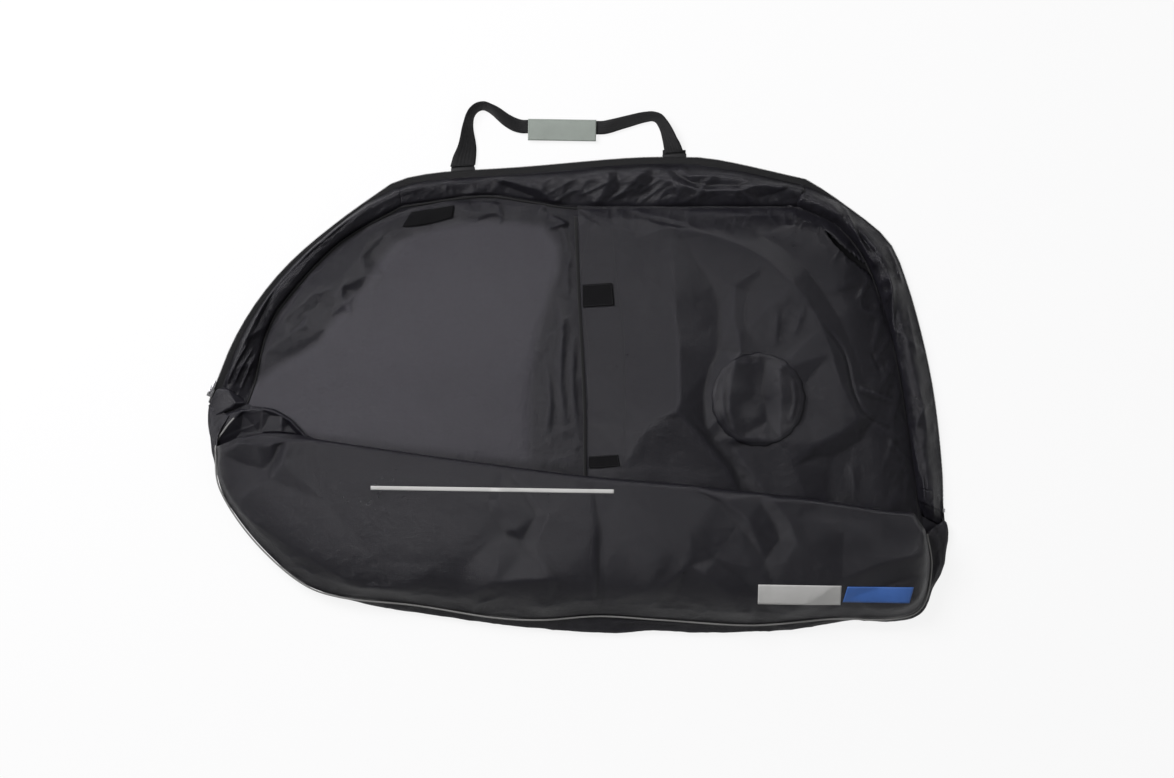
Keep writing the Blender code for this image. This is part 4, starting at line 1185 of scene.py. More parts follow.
@dataclass
class Gusset:
    """The collapsed gusset round the bag and its half of the zip."""

    kit: Workshop
    lap: float = 0.0015
    seam_lift: float = 0.003
    tape_width: float = 0.014
    tape_lift: float = 0.0075
    coil_clearance: float = 0.0006
    stitch_lift: float = 0.0006
    bend_start: float = 0.008
    bend_end: float = 0.024
    columns: int = 40
    crush: float = 0.006
    lengths_of_cloth: tuple[GussetLength, ...] = (
        GussetLength("gusset_left_cloth", "gusset_left", PLAN.back_left, 0, (0.004, 0.034, 0.028),
                     190, ((0.001, -0.01), (0.0, 0.0)), (0.003, 0.003, 0.012, 0.003)),
        GussetLength("gusset_top_cloth", "gusset_top", PLAN.back_top, 1, (0.028, 0.021, 0.028),
                     220, ((-0.008, -0.004), (0.008, -0.005))),
        GussetLength("gusset_right_cloth", "gusset_right", PLAN.back_right, 2,
                     (0.03, 0.032, 0.028), 150, ((-0.007, 0.004), (0.006, -0.03)),
                     (0.004, 0.0148, 0.0148, 0.0148),
                     ((0.0, 0.0), (0.05, 0.38), (0.13, 0.66), (0.26, 0.9), (0.42, 1.0),
                      (0.6, 0.86), (0.8, 0.52), (1.0, 0.16))),
    )
    facets: Facets = Facets((
        ((-370, 378), (-314, 398), (-214, 410), (-114, 414), (-14, 418), (86, 420), (206, 422), (326, 418),
         (446, 402), (538, 366)),
        ((-370, 334), (-294, 354), (-214, 354), (-154, 346), (-94, 336), (-46, 312), (26, 310), (146, 310),
         (246, 318), (366, 318), (446, 310), (526, 286)),
        ((-358, 378, 6), (-330, 382, 7), (-312, 362, 4)),
        ((-294, 386, 2), (-214, 390, 2)),
        ((-192, 386, 4), (-136, 370, 9), (-74, 352, 10), (-52, 336, 8), (-40, 320, 3)),
        ((-190, 376), (-140, 360), (-84, 340)),
        ((-172, 398, 2), (-114, 380, 4), (-68, 362, 5)),
        ((-42, 376, 1), (-22, 354), (-12, 326)),
        ((-38, 390, 3), (-6, 382, 2), (14, 346, 2), (24, 322, 1)),
        ((62, 396, 12), (62, 366, 13), (46, 336, 9), (30, 320, 3)),
        ((78, 394, 3), (84, 354, 2), (54, 326, 1)),
        ((146, 400, 11), (118, 374, 11), (92, 350, 6)),
        ((154, 386, 2), (142, 354, 1), (106, 340, 1)),
        ((178, 392, 7), (188, 372, 10), (214, 360, 11), (246, 351, 11), (294, 352, 11), (328, 351, 11),
         (348, 360, 11), (376, 362, 10), (410, 358, 9)),
        ((198, 384, 2), (226, 368, 2), (268, 362, 2), (328, 362, 2), (352, 372, 2), (390, 372, 2)),
        ((178, 392, 7), (204, 400, 8), (224, 380, 8), (270, 381, 8), (328, 387, 8), (376, 381, 8),
         (424, 376, 7)),
        ((222, 392, 2), (270, 392, 2), (328, 398, 2), (376, 392, 2), (422, 386, 1)),
        ((414, 354, 2), (386, 344), (358, 338)),
        ((446, 358, 2), (480, 334, 8), (506, 324, 9)),
        ((466, 322), (490, 308)),
        ((508, 356, 7), (522, 304, 6)),
        ((522, 354), (536, 306)),
    ), 2.0)
    folds: tuple[Fold, ...] = (
        Fold(((-640, 74), (-618, 122), (-592, 164), (-530, 226), (-490, 260),
            (-430, 308)), -9, 10, 16, 0.15),
        Fold(((-708, -38), (-702, -28), (-676, 18), (-659, 52), (-633, 106), (-590, 179), (-554, 220),
            (-504, 262)), 8, 4, 9, 0.06),
        Fold(((-712, -22), (-690, 24), (-666, 66), (-640, 106)), 4, 3, 4, 0.1),
        Fold(((-586, 194), (-546, 234), (-494, 276), (-436, 326), (-372, 362)), 7, 10, 14, 0.12),
        Fold(((-702, -42), (-678, 6), (-650, 54)), 6, 5, 5),
        Fold(((-688, -42), (-668, -2), (-642, 42)), 6, 5, 5),
        Fold(((-674, -50), (-658, -14), (-638, 30)), 5, 5, 6),
        Fold(((-554, 210), (-518, 242), (-490, 254)), 5, 8, 10),
        Fold(((530, 330), (544, 292), (562, 254), (580, 222), (596, 198)), 10, 16, 9, 0.1),
        Fold(((614, 198), (626, 154), (630, 74), (640, 22)), 9, 14, 10, 0.15),
        Fold(((640, 22), (652, -86), (670, -156), (684, -226)), 7, 12, 10, 0.15),
        Fold(((542, 290), (570, 254), (606, 210)), -7, 10, 10),
        Fold(((656, 134), (666, 74), (678, 14)), 4, 10, 12),
        Fold(((686, -210), (690, -242), (692, -278)), 6, 7, 6),
        Fold(((676, -242), (674, -266), (676, -290)), 6, 7, 6),
        Fold(((706, -262), (710, -278), (710, -298)), 5, 7, 6),
        Fold(((614, 254), (634, 210), (650, 162)), 5, 8, 12),
        Fold(((676, -26), (690, -86), (698, -146)), 4, 10, 12),
    )
    base_spans: int = 330
    base_flap: float = 0.94
    base_folds: tuple[Fold, ...] = (
        Fold(((694, -296), (708, -326), (724, -368)), 5, 12, 12),
        Fold(((676, -316), (690, -332), (706, -346)), 4, 8, 8),
        Fold(((716, -362), (722, -386), (712, -426)), 4, 9, 9),
        Fold(((446, -514), (526, -506), (606, -504)), 3, 10, 10),
        Fold(((46, -510), (126, -506), (246, -514)), 3, 10, 8),
        Fold(((-726, -70), (-712, -80), (-696, -86)), 5, 10, 10),
        Fold(((-716, -98), (-690, -90), (-656, -84)), -4, 9, 9),
        Fold(((-722, -126), (-710, -114), (-690, -90)), 4, 8, 8),
    )
    gore_edges: tuple[Line, ...] = (
        ((-720, -170), (-730, -146), (-736, -116), (-735, -82), (-726, -58)),
        ((-494, -170), (-492, -166), (-490, -162), (-488, -160), (-486, -158)),
        ((-720, -170), (-690, -166), (-654, -160), (-586, -158), (-532, -160), (-494, -170)),
        ((-726, -58), (-716, -44), (-698, -43), (-674, -58), (-652, -76), (-630, -80), (-604, -84),
         (-584, -94), (-566, -106), (-552, -122), (-534, -138), (-486, -158)),
    )
    gore: Facets = Facets((
        ((-746, -90, 9), (-742, -62, 9), (-716, -38, 10), (-696, -36, 12), (-670, -52, 12),
         (-646, -70, 12), (-626, -72, 12), (-600, -76, 12), (-578, -86, 12), (-556, -100, 12),
         (-542, -118, 12), (-526, -134, 12), (-478, -154, 12)),
        ((-736, -88, 13), (-730, -68, 15), (-716, -46, 17), (-699, -47, 24), (-680, -72, 31),
         (-689, -81, 28), (-724, -99, 17)),
        ((-691, -46, 21), (-658, -71, 18), (-650, -78, 19)),
        ((-723, -102, 12), (-697, -90, 14), (-679, -85, 17), (-654, -83, 18)),
        ((-724, -106, 16), (-688, -93, 23), (-668, -87, 25)),
        ((-668, -87, 25), (-684, -106, 25), (-710, -138, 19), (-722, -164, 14)),
        ((-746, -146, 9), (-736, -116, 12), (-730, -146, 12), (-726, -178, 9)),
        ((-667, -94, 17), (-671, -122, 12), (-675, -138, 9)),
        ((-679, -114, 20), (-686, -128, 15), (-692, -146, 12)),
        ((-662, -88, 23), (-650, -84, 24), (-628, -86, 24), (-634, -130, 10), (-670, -138, 9)),
        ((-626, -84, 25), (-604, -89, 28), (-586, -98, 29), (-570, -108, 29), (-556, -124, 28),
         (-540, -140, 27), (-494, -164, 20)),
        ((-612, -96, 19), (-628, -129, 13), (-587, -129, 24), (-589, -120, 25), (-612, -96, 19)),
        ((-576, -116, 18), (-560, -132, 18), (-544, -146, 18)),
        ((-726, -178, 9), (-674, -146, 9), (-634, -142, 9), (-588, -138, 12), (-544, -152, 14),
         (-486, -178, 12)),
    ), 1.6)

    def tape_edge(self, spans: int) -> Points:
        """Returns the inner edge of the zip tape."""
        line = spaced(PLAN.zip_line(), spans)
        return line - outward(line) * (PLAN.coil_radius + self.coil_clearance + self.tape_width)

    def make(self) -> None:
        """Builds and dresses the gusset and its zip."""
        for one in self.lengths_of_cloth:
            self.make_length(one)
        self.make_base()
        self.make_gore()
        self.make_zip()

    def make_length(self, one: GussetLength) -> None:
        """Builds one length of the gusset.

        Args:
            one: its sizes.
        """
        ends = PLAN.zip_corners()
        outer = spaced(self.tape_edge(720), one.spans, ends[one.first], ends[one.first + 1])
        inner = spaced(PLAN.curve(one.inner), one.spans)
        inner = inner - outward(inner) * self.lap
        along = np.linspace(0, 1, one.spans + 1)
        outer = outer + outward(outer) * np.interp(along, [0, 0.1, 0.88, 1], one.laps)[:, None]
        rise = np.interp(along, [0, 0.18, 0.75, 1], [one.rises[0], one.rises[1], one.rises[1],
                                                     one.rises[2]])
        for tail, row, where in ((one.tails[0], 0, 0), (one.tails[1], -1, one.spans + 1)):
            if any(tail):
                steps = np.linspace(1, 0, 8, endpoint=False)[:, None] * np.array(tail)
                steps = steps if row == 0 else steps[::-1]
                outer = np.insert(outer, where, outer[row] + steps, axis=0)
                inner = np.insert(inner, where, inner[row] + steps, axis=0)
                drop = 1 - 0.75 * np.linalg.norm(steps, axis=1) / np.linalg.norm(tail)
                rise = np.insert(rise, where, rise[row] * drop)
        shares = np.linspace(0, 1, self.columns)
        shape = smooth(one.profile)
        height = np.interp(shares, shape[:, 0], shape[:, 1])
        plan = inner[:, None] + (outer - inner)[:, None] * shares[None, :, None]
        x, y = plan[..., 0], plan[..., 1]
        swell = 1 + 0.12 * wander(x, y, 0.1, 31) + 0.06 * wander(x, y, 0.045, 32)
        z = self.seam_lift + rise[:, None] * height[None] * swell
        held = ease(shares / 0.14) * ease((1 - shares) / 0.16)
        rough = crumple(x, y, 0.045, 33, 1.8, 40) - 0.45 + 0.2 * (crumple(x, y, 0.018, 34) - 0.45)
        z = z + held[None] * (self.facets.lift(x, y) + relief(x, y, self.folds) + rough * self.crush)
        low = PLAN.lining_top + 0.0007 - 0.004 * ease((shares - 0.1) / 0.2)
        z = np.maximum(z, low[None])
        z = np.maximum(z, (self.tape_lift + 0.0012) * ease((shares - 0.6) / 0.35)[None])
        points = np.dstack([plan, np.minimum(z, 0.06)])
        self.kit.cloth(one.name, points, Looks.SHELL, PLAN.cloth * 0.6, "bag_back", one.node, "gathered",
                       ["back_panel_cloth"])
        self.make_seams(one.name, points, (1, self.columns - 2))

    def make_seams(self, name: str, points: Points, columns: tuple[int, int]) -> None:
        """Sews a row of stitches along two columns of a cloth's points."""
        for index, column in enumerate(columns):
            line = points[:, column] + np.array([0, 0, self.stitch_lift])
            self.kit.seam(f"{name}_stitches_{index + 1}", line, "bag_back")

    def make_base(self) -> None:
        """Builds the gusset round the base."""
        spans = self.base_spans
        inner = spaced(PLAN.curve(PLAN.back_base), spans)
        inner = inner - outward(inner) * self.lap
        edge = spaced(PLAN.curve(PLAN.edge_base), spans)
        lip = spaced(PLAN.curve(PLAN.front_seam[::-1] + PLAN.tip_lip), spans)
        top = PLAN.front_lift - PLAN.piping - PLAN.cloth
        section = ((inner, 0.0088), (inner + (edge - inner) * 0.55, 0.004), (edge, 0.012),
                   (edge + (lip - edge) * 0.5, (0.012 + top) / 2), (lip, top))
        keys = np.stack([np.column_stack([line, np.full(spans + 1, z)]) for line, z in section], axis=1)
        rows = np.stack([at(smooth(row), np.linspace(0, 1, 20)) for row in keys])
        reach = 0.0004 + 0.0046 * ease((self.base_flap - np.linspace(0, 1, spans + 1)) / 0.04)[:, None]
        inside = np.dstack([(lip - outward(lip) * reach)[:, None], (top + reach * 0.55)[:, None]])
        rows = np.concatenate([rows, inside], axis=1)
        x, y = rows[..., 0], rows[..., 1]
        across = np.append(np.linspace(0, 1, 20), 1.0)[None]
        held = ease(across / 0.3) * ease((1 - across) / 0.25)
        bulge = wander(x, y, 0.08, 41) * 0.002 + (crumple(x, y, 0.04, 42) - 0.4) * 0.002
        upper = ease((across - 0.45) / 0.2) * ease((1 - across) / 0.12)
        rough = (crumple(x, y, 0.036, 43, 2.0, 10) - 0.35) * 0.004
        z = rows[..., 2] + upper * (relief(x, y, self.base_folds) + rough)
        out = outward(edge)[:, None] * (held * bulge)[..., None]
        points = np.dstack([rows[..., :2] + out, np.clip(z, 0.0012, 0.04)])
        made = self.kit.cloth("gusset_base_cloth", points, Looks.SHELL, PLAN.cloth * 0.7, "", "gusset_base",
                              "gathered", ["back_panel_cloth"])
        self.bend(made)

    def bend(self, piece: Piece) -> None:
        """Bakes a piece's place into its mesh, leaving it on no body."""
        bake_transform(piece)

    def make_gore(self) -> None:
        """Builds the folded gore at the left tip."""
        across, up = np.linspace(0, 1, 124), np.linspace(0, 1, 64)
        edges = [at(smooth(line) * MM, shares)
                 for line, shares in zip(self.gore_edges, (up, up, across, across))]
        plan = patch(*edges, across, up)
        x, y = plan[..., 0], plan[..., 1]
        z = self.gore.lift(x, y) + (crumple(x, y, 0.02, 45, 1.5, 20) - 0.4) * 0.001
        points = np.dstack([plan, np.clip(z, 0.01, 0.034)])
        made = self.kit.cloth("gusset_tip_gore", points, Looks.SHELL, PLAN.cloth * 0.6, "", "", "folded",
                              ["gusset_base_cloth"])
        self.bend(made)

    def make_zip(self) -> None:
        """Builds the gusset's half of the zip: its tape, coil, end stop, slider and pull."""
        line = spaced(PLAN.zip_line(), 640)
        side = outward(line)
        near = line - side * 0.0002
        far = line - side * (PLAN.coil_radius + self.coil_clearance + self.tape_width)
        across = np.linspace(0, 1, 7)
        plan = near[:, None] + (far - near)[:, None] * across[None, :, None]
        x, y = plan[..., 0], plan[..., 1]
        wave = wander(x, y, 0.05, 51) * 0.0012 * ease(across / 0.5)[None]
        points = np.dstack([plan, self.tape_lift + wave + 0.0008 * np.sin(across * math.pi)[None]])
        self.kit.cloth("gusset_zip_tape_cloth", points, Looks.TAPE, 0.0007, "bag_back",
                       "gusset_zip_tape", "laid", ["gusset_left_cloth"])
        self.make_seams("zip_tape", points, (1, 5))
        line = np.column_stack([line, np.full(len(line), self.tape_lift)])
        self.kit.place("gusset_zip_coil_wound", coil(line, 0.009), Looks.COIL, "bag_back",
                       "gusset_zip_coil")
        for node, body in (("zip_end_stop", "bag_back"), ("zip_slider", "slider"), ("zip_pull", "pull")):
            self.kit.part(node, "metal", Looks.METAL, body)


@dataclass
class WheelPocket:
    """The wheel pocket with its hem, facing, hub guard and two closing tabs."""

    kit: Workshop
    seam_lift: float = 0.003
    height: float = 0.025
    shoulder: float = 0.085
    shoulder_power: float = 2.2
    roll: float = 0.018
    blend: float = 0.002
    room_low: float = 0.052
    room_rise: float = 0.036
    room_run: float = 0.075
    guard_share: tuple[float, float] = (242, -8)
    guard_radius: float = 0.094
    plate_radius: float = 0.086
    gap_line: Line = ((494, 272), (514, 248), (538, 226), (558, 211), (576, 198), (594, 180), (610, 158))
    gap_width: float = 0.012
    clearance: float = 0.0012
    tab_length: float = 0.06
    seam_step: float = 0.0045
    tent: Facets = Facets((
        ((186, 258, 9), (192, 130, 24), (200, 36, 32), (202, -70, 41), (194, -90, 41)),
        ((68, 306, 2), (76, 240, 4), (90, 54, 9), (94, -10, 12), (94, -56, 16), (94, -74, 16)),
        ((94, -74, 16), (126, -88, 24), (160, -100, 32), (194, -90, 41)),
        ((18, 306, 2), (14, 134, 3), (12, 8, 4), (18, -106, 3), (22, -266)),
        ((12, 8, 4), (94, -10, 12)),
        ((160, -100, 32), (132, -130, 24), (100, -186, 12), (86, -266, 4)),
        ((194, -90, 41), (208, -98, 38), (298, -208, 16), (330, -270, 8)),
        ((226, -84, 33), (270, -148, 15), (308, -196, 7), (358, -270, 3)),
        ((306, -154, 20), (390, -270, 8)),
        ((402, -148, 23), (428, -196, 18), (458, -266, 12)),
        ((470, -178, 9), (490, -198, 7), (502, -270, 2)),
        ((212, 254, 7), (234, 210, 8), (270, 156, 8), (282, 120, 9), (284, 36, 14), (262, -10, 19),
         (250, -56, 23), (254, -122, 20)),
        ((312, 162, 15), (308, 102, 19), (320, 64, 21), (324, 30, 22)),
        ((336, 150, 13), (334, 74, 18), (330, 30, 20)),
        ((312, 10, 29), (302, -36, 34), (302, -86, 34), (316, -142, 28)),
        ((374, 6, 17), (370, -50, 17), (378, -106, 17)),
        ((400, -6, 23), (404, -66, 26), (400, -122, 23)),
        ((452, -32, 16), (458, -66, 15), (450, -106, 16)),
        ((182, 278, 9), (262, 264, 16), (326, 240, 21), (382, 208, 24), (428, 166, 26), (456, 130, 26),
         (484, 82, 26), (506, 28, 25), (524, -34, 24), (558, -102, 21), (530, -126, 18), (474, -154, 18)),
        ((174, 306, 4), (266, 296, 6), (346, 272, 8), (408, 236, 9), (456, 194, 10), (492, 144, 10),
         (522, 94, 10), (546, 34, 9), (568, -30, 7), (600, -90, 4), (558, -148, 5), (506, -176, 6)),
        ((-16, 334), (76, 338, 2), (214, 346, 3), (350, 350, 4), (478, 346, 4), (546, 334, 6),
         (590, 222, 7), (622, 186, 7), (638, 74, 6), (656, -56, 5), (670, -154, 4), (682, -286)),
        ((580, 162, 3), (590, 64, 3), (604, 18, 2), (632, -28, 2)),
        ((482, 274, 7), (514, 236, 6), (546, 208, 6), (574, 182, 6), (598, 150, 6)),
        ((502, 278, 11), (528, 246, 16), (552, 228, 16), (582, 208, 15), (610, 176, 9)),
        ((632, -128, 1), (644, -196, 2)),
    ), 4.0)
    folds: tuple[Fold, ...] = (
        Fold(((484, 88), (530, 28), (548, -46), (576, -98), (632, -126), (664, -154)), -4, 8, 8, 0.15),
        Fold(((552, -38), (598, -56), (644, -72)), 5, 12, 12),
        Fold(((396, 124), (394, 74), (390, 30)), 2.2, 22, 16, 0.4),
        Fold(((448, 128), (440, 94), (424, 52)), 2.2, 20, 16, 0.4),
        Fold(((70, 318), (122, 302), (168, 290), (228, 276)), -5, 9, 9, 0.2),
        Fold(((-2, 314), (30, 296), (68, 276)), -4, 8, 8),
        Fold(((220, 308), (266, 308), (306, 306), (350, 302)), 5, 24, 9, 0.12),
        Fold(((408, 340), (420, 332), (436, 320)), -5, 8, 8),
        Fold(((470, 328), (480, 318), (490, 306)), -5, 8, 8),
        Fold(((538, 322), (558, 278), (586, 222), (592, 204)), 4, 6, 6),
        Fold(((618, -144), (642, -168), (668, -196)), 4, 12, 10),
        Fold(((538, -186), (550, -218), (554, -258)), 2.5, 20, 20, 0.4),
        Fold(((584, 34), (594, 10), (608, -14)), -3, 8, 8),
        Fold(((126, 224), (138, 134), (134, 34)), 2, 34, 34, 0.3, Shape.ROUND),
    )
    seams: tuple[tuple[str, Line], ...] = (
        ("mouth", ((26, 310), (20, 254), (12, 208), (16, 94), (24, 32), (24, -66), (24, -146),
            (24, -206))),
        ("facing", ((68, 306), (74, 220), (84, 134), (94, 56), (94, -40), (96, -78), (94, -146),
            (90, -214))),
    )
    disc_folds: tuple[Fold, ...] = (
        Fold(((294, 2), (288, -36), (290, -86), (302, -134)), 2, 12, 8, 0.15),
        Fold(((426, -18), (432, -66), (420, -114)), 2, 8, 8),
    )

    def surface(self, x: Points, y: Points) -> Points:
        """Measures the pocket cloth's middle.

        Args:
            x: places along the bag.
            y: places across it.

        Returns:
            Its height there.
        """
        seam = PLAN.pocket_seam()
        apart, side, _ = nearest(x, y, seam, 120)
        middle = PLAN.place(self.guard_share)
        within = nearest(middle[:1], middle[1:], seam, 120)[1][0]
        rise = np.clip((apart * side * within + self.roll) / self.shoulder, 0, 1)
        shoulder = 1 - (1 - rise) ** self.shoulder_power
        z = self.height * shoulder + shoulder * (self.tent.lift(x, y) + relief(x, y, self.folds))
        z += shoulder * (wander(x, y, 0.09, 61) * 0.0012 + wander(x, y, 0.035, 62) * 0.0005)
        z += shoulder * (1 - shoulder) * 4 * (crumple(x, y, 0.034, 63, 1.6, 70) - 0.4) * 0.005
        fold = PLAN.curve(PLAN.fold)
        fold = fold[np.argsort(fold[:, 0])]
        apart = y - np.interp(x, fold[:, 0], fold[:, 1])
        limit = self.room_low + self.room_rise * ease((apart - 0.002) / self.room_run)
        z = PLAN.lining_top + self.seam_lift + z
        over = (z - limit) / self.blend
        return z - self.blend * np.log1p(np.exp(np.minimum(over, 40)))

    def spacing(self, *stretches: tuple[float, int]) -> Points:
        """Spaces shares evenly within each stretch.

        Args:
            stretches: where each stretch ends, and how many spans it has.

        Returns:
            The shares from 0 to 1.
        """
        parts, start = [], 0.0
        for end, count in stretches:
            parts.append(np.linspace(start, end, count, endpoint=False))
            start = end
        return np.concatenate([*parts, [start]])

    def plan(self, across: Points, up: Points) -> Points:
        """Spreads a grid over the pocket.

        Args:
            across: shares from its mouth to its right seam.
            up: shares from its foot to its top.

        Returns:
            Plan points, one row for each share up.
        """
        mouth = at(PLAN.curve(PLAN.mouth), up)
        right = at(PLAN.curve(PLAN.pocket_right), up)
        return mouth[:, None] + (right - mouth)[:, None] * across[None, :, None]

    def make(self) -> None:
        """Builds and dresses the pocket."""
        up = self.spacing((0.26, 14), (0.77, 84), (0.965, 60), (1.0, 7))
        plan = self.plan(self.spacing((0.76, 100), (0.97, 62), (1.0, 5)), up)
        points = self.allowance(np.dstack([plan, self.surface(plan[..., 0], plan[..., 1])]))
        made = self.kit.cloth("wheel_pocket_cloth", points, Looks.SHELL, PLAN.cloth * 0.8, "bag_back",
                              "wheel_pocket_panel", "stretched", ["back_lining_cloth"])
        self.open_gap(made.data)
        self.make_gap_shade_sheet()
        self.make_edges(up)
        self.make_guard()
        self.make_tabs()
        self.make_seams()

    def open_gap(self, mesh: Mesh) -> None:
        """Opens the narrow gap beside the lip at the pocket's upper right corner.

        Args:
            mesh: the pocket's cloth.
        """
        with editing(mesh) as bm:
            places = np.array([f.calc_center_median()[:2] for f in bm.faces])
            apart, _, share = nearest(places[:, 0], places[:, 1], smooth(self.gap_line) * MM)
            cut = apart < self.gap_width / 2 * np.sin(np.clip(share, 0, 1) * math.pi) ** 0.7
            bmesh.ops.delete(bm, geom=[f for f, out in zip(bm.faces, cut) if out], context="FACES")

    def make_gap_shade_sheet(self) -> None:
        """Lays a dark sheet in the gap beside the lip, as painted shade for the shadow under the lip."""
        line = spaced(smooth(self.gap_line) * MM, 60)
        across = np.linspace(-1, 1, 9) * self.gap_width
        plan = line[:, None] + outward(line)[:, None] * across[None, :, None]
        points = np.dstack([plan, np.full(plan.shape[:2], PLAN.lining_top + 0.0012)])
        # the dark hook-tape finish is painted shade in the gap
        self.kit.cloth("pocket_gap_painted_shade", points, Looks.HOOK, 0.0006, "bag_back", "", "laid",
                       ["back_lining_cloth"])

    def allowance(self, points: Points) -> Points:
        """Adds the cloth outside the pocket's seam, which the gusset's seam holds.

        Args:
            points: the pocket's points, up to its seam.

        Returns:
            Its points with five more rows and columns.
        """
        for drop in (0.0, 0.0, 0.0004, 0.0009, 0.0015):
            side = outward(points[:, -1, :2])
            side = side * np.sign(side[:, :1].mean())
            column = np.column_stack([points[:, -1, :2] + side * self.seam_step, np.zeros(len(side))])
            points = np.concatenate([points, column[:, None]], axis=1)
            points = np.concatenate([points, points[-1:] + np.array([0, self.seam_step, 0])])
            for outer in (points[:, -1], points[-1]):
                outer[:, 2] = self.surface(outer[:, 0], outer[:, 1]) - drop
        return points

    def strip(self, name: str, node: str, offsets: Sequence[float], drop: Sequence[float],
              up: Points, look: Looks, wall: float) -> None:
        """Builds a narrow strip along the pocket's mouth.

        Args:
            name: the piece's name.
            node: the CAD node that it replaces.
            offsets: how far right of the mouth each of its columns lies.
            drop: how far below the pocket cloth's middle each lies.
            up: shares up the mouth.
            look: its finish.
            wall: its thickness.
        """
        line = at(PLAN.curve(PLAN.mouth), up)
        plan = line[:, None] + np.array([[o, 0.0] for o in offsets])[None]
        edge = self.surface(np.maximum(plan[..., 0], line[:, :1] + 0.0005), plan[..., 1])
        points = np.dstack([plan, edge - np.array(drop)[None]])
        self.kit.cloth(name, points, look, wall, "bag_back", node, "stretched", ["wheel_pocket_cloth"])

    def make_edges(self, up: Points) -> None:
        """Builds the mouth's hem and facing, and the tape over the pocket's seam.

        Args:
            up: the grid's shares up the pocket.
        """
        offsets = (-0.0066, -0.0056, -0.0036, -0.0018, -0.0009)
        self.strip("pocket_mouth_binding", "pocket_mouth_hem", offsets,
                   (0.0012, 0.0002, -0.0002, 0.0, 0.0006), up, Looks.TAPE, 0.002)
        inside = up[(up > 0.06) & (up < 0.94)]
        self.strip("pocket_mouth_facing_cloth", "pocket_mouth_facing",
                   np.linspace(0.001, 0.07, 9), [0.0026] * 9, inside, Looks.LINING, 0.0009)
        line = spaced(PLAN.pocket_seam(), 420)
        side = outward(line)
        across = np.linspace(0, 1, 4)[None, :, None]
        near, far = line - side * 0.0017, line - side * 0.0067
        plan = near[:, None] * (1 - across) + far[:, None] * across
        points = np.dstack([plan, np.full(plan.shape[:2], PLAN.lining_top + 0.0007)])
        self.kit.cloth("pocket_seam_tape_cloth", points, Looks.TAPE, 0.0007, "bag_back",
                       "pocket_seam_tape")

    def make_seams(self) -> None:
        """Sews the rows of stitches on the pocket."""
        for name, line in self.seams:
            flat = spaced(smooth(line) * MM, 240)
            z = self.surface(flat[:, 0], flat[:, 1]) + PLAN.cloth * 0.4 + 0.0003
            self.kit.seam(f"pocket_{name}_stitches", np.column_stack([flat, z]), "bag_back")

    def disc(self, radius: float, rings: int, lift: float, pucker: float) -> Points:
        """Shapes a round piece that follows the pocket cloth.

        Args:
            radius: its radius.
            rings: how many rings it has.
            lift: how far it lies over the cloth's middle.
            pucker: how far its edge is drawn in and up.

        Returns:
            Its points, one row for each ring.
        """
        turn = np.linspace(0, 2 * math.pi, 121)[None]
        share = np.linspace(0.004, 1, rings + 1)[:, None]
        edge = ease((share - 0.86) / 0.14)
        wave = np.sin(turn * 21) * 0.6 + np.sin(turn * 13 + 1) * 0.4
        reach = radius * share * (1 + edge * (wave - 1) * pucker / radius)
        centre = PLAN.place(self.guard_share)
        x, y = centre[0] + reach * np.cos(turn), centre[1] + reach * np.sin(turn)
        inside = ease((1 - share) / 0.25)
        z = self.surface(x, y) + lift
        if pucker:
            z = z + inside * np.maximum(relief(x, y, self.disc_folds), -0.0006)
            z = z + ease((share - 0.72) / 0.1) * ease((0.99 - share) / 0.09) * (1 + wave) * 0.0004
            z = z - 0.9 * self.clearance * ease((share - 0.91) / 0.09)
        return np.dstack([x, y, z])

    def make_guard(self) -> None:
        """Builds the round patch that guards the wheel's hub and the stiff plate behind it."""
        over = PLAN.cloth + self.clearance
        points = self.disc(self.guard_radius, 30, over, 0.0016)
        made = self.kit.cloth("hub_guard_patch_cloth", points, Looks.SHELL, PLAN.cloth * 0.7, "bag_back",
                              "hub_guard_patch", "laid", ["wheel_pocket_cloth"],
                              (2 * self.guard_radius,) * 2)
        self.close_disc(made.data)
        self.kit.seam("hub_guard_stitches", points[27] + np.array([0, 0, 0.0008]), "bag_back")
        points = self.disc(self.plate_radius, 12, -over - 0.0008, 0.0)
        made = self.kit.cloth("hub_guard_plate_sheet", points, Looks.PLASTIC, 0.0015, "bag_back",
                              "hub_guard_plate")
        self.close_disc(made.data)

    def close_disc(self, mesh: Mesh) -> None:
        """Joins a disc's two ends and closes its middle.

        Args:
            mesh: the disc.
        """
        centre = PLAN.place(self.guard_share)
        with editing(mesh) as bm:
            bmesh.ops.remove_doubles(bm, verts=bm.verts, dist=WELD)
            inner = [e for e in bm.edges
                     if e.is_boundary and math.dist(e.verts[0].co.xy, centre) < 0.004]
            bmesh.ops.holes_fill(bm, edges=inner, sides=0)
            bmesh.ops.recalc_face_normals(bm, faces=bm.faces)

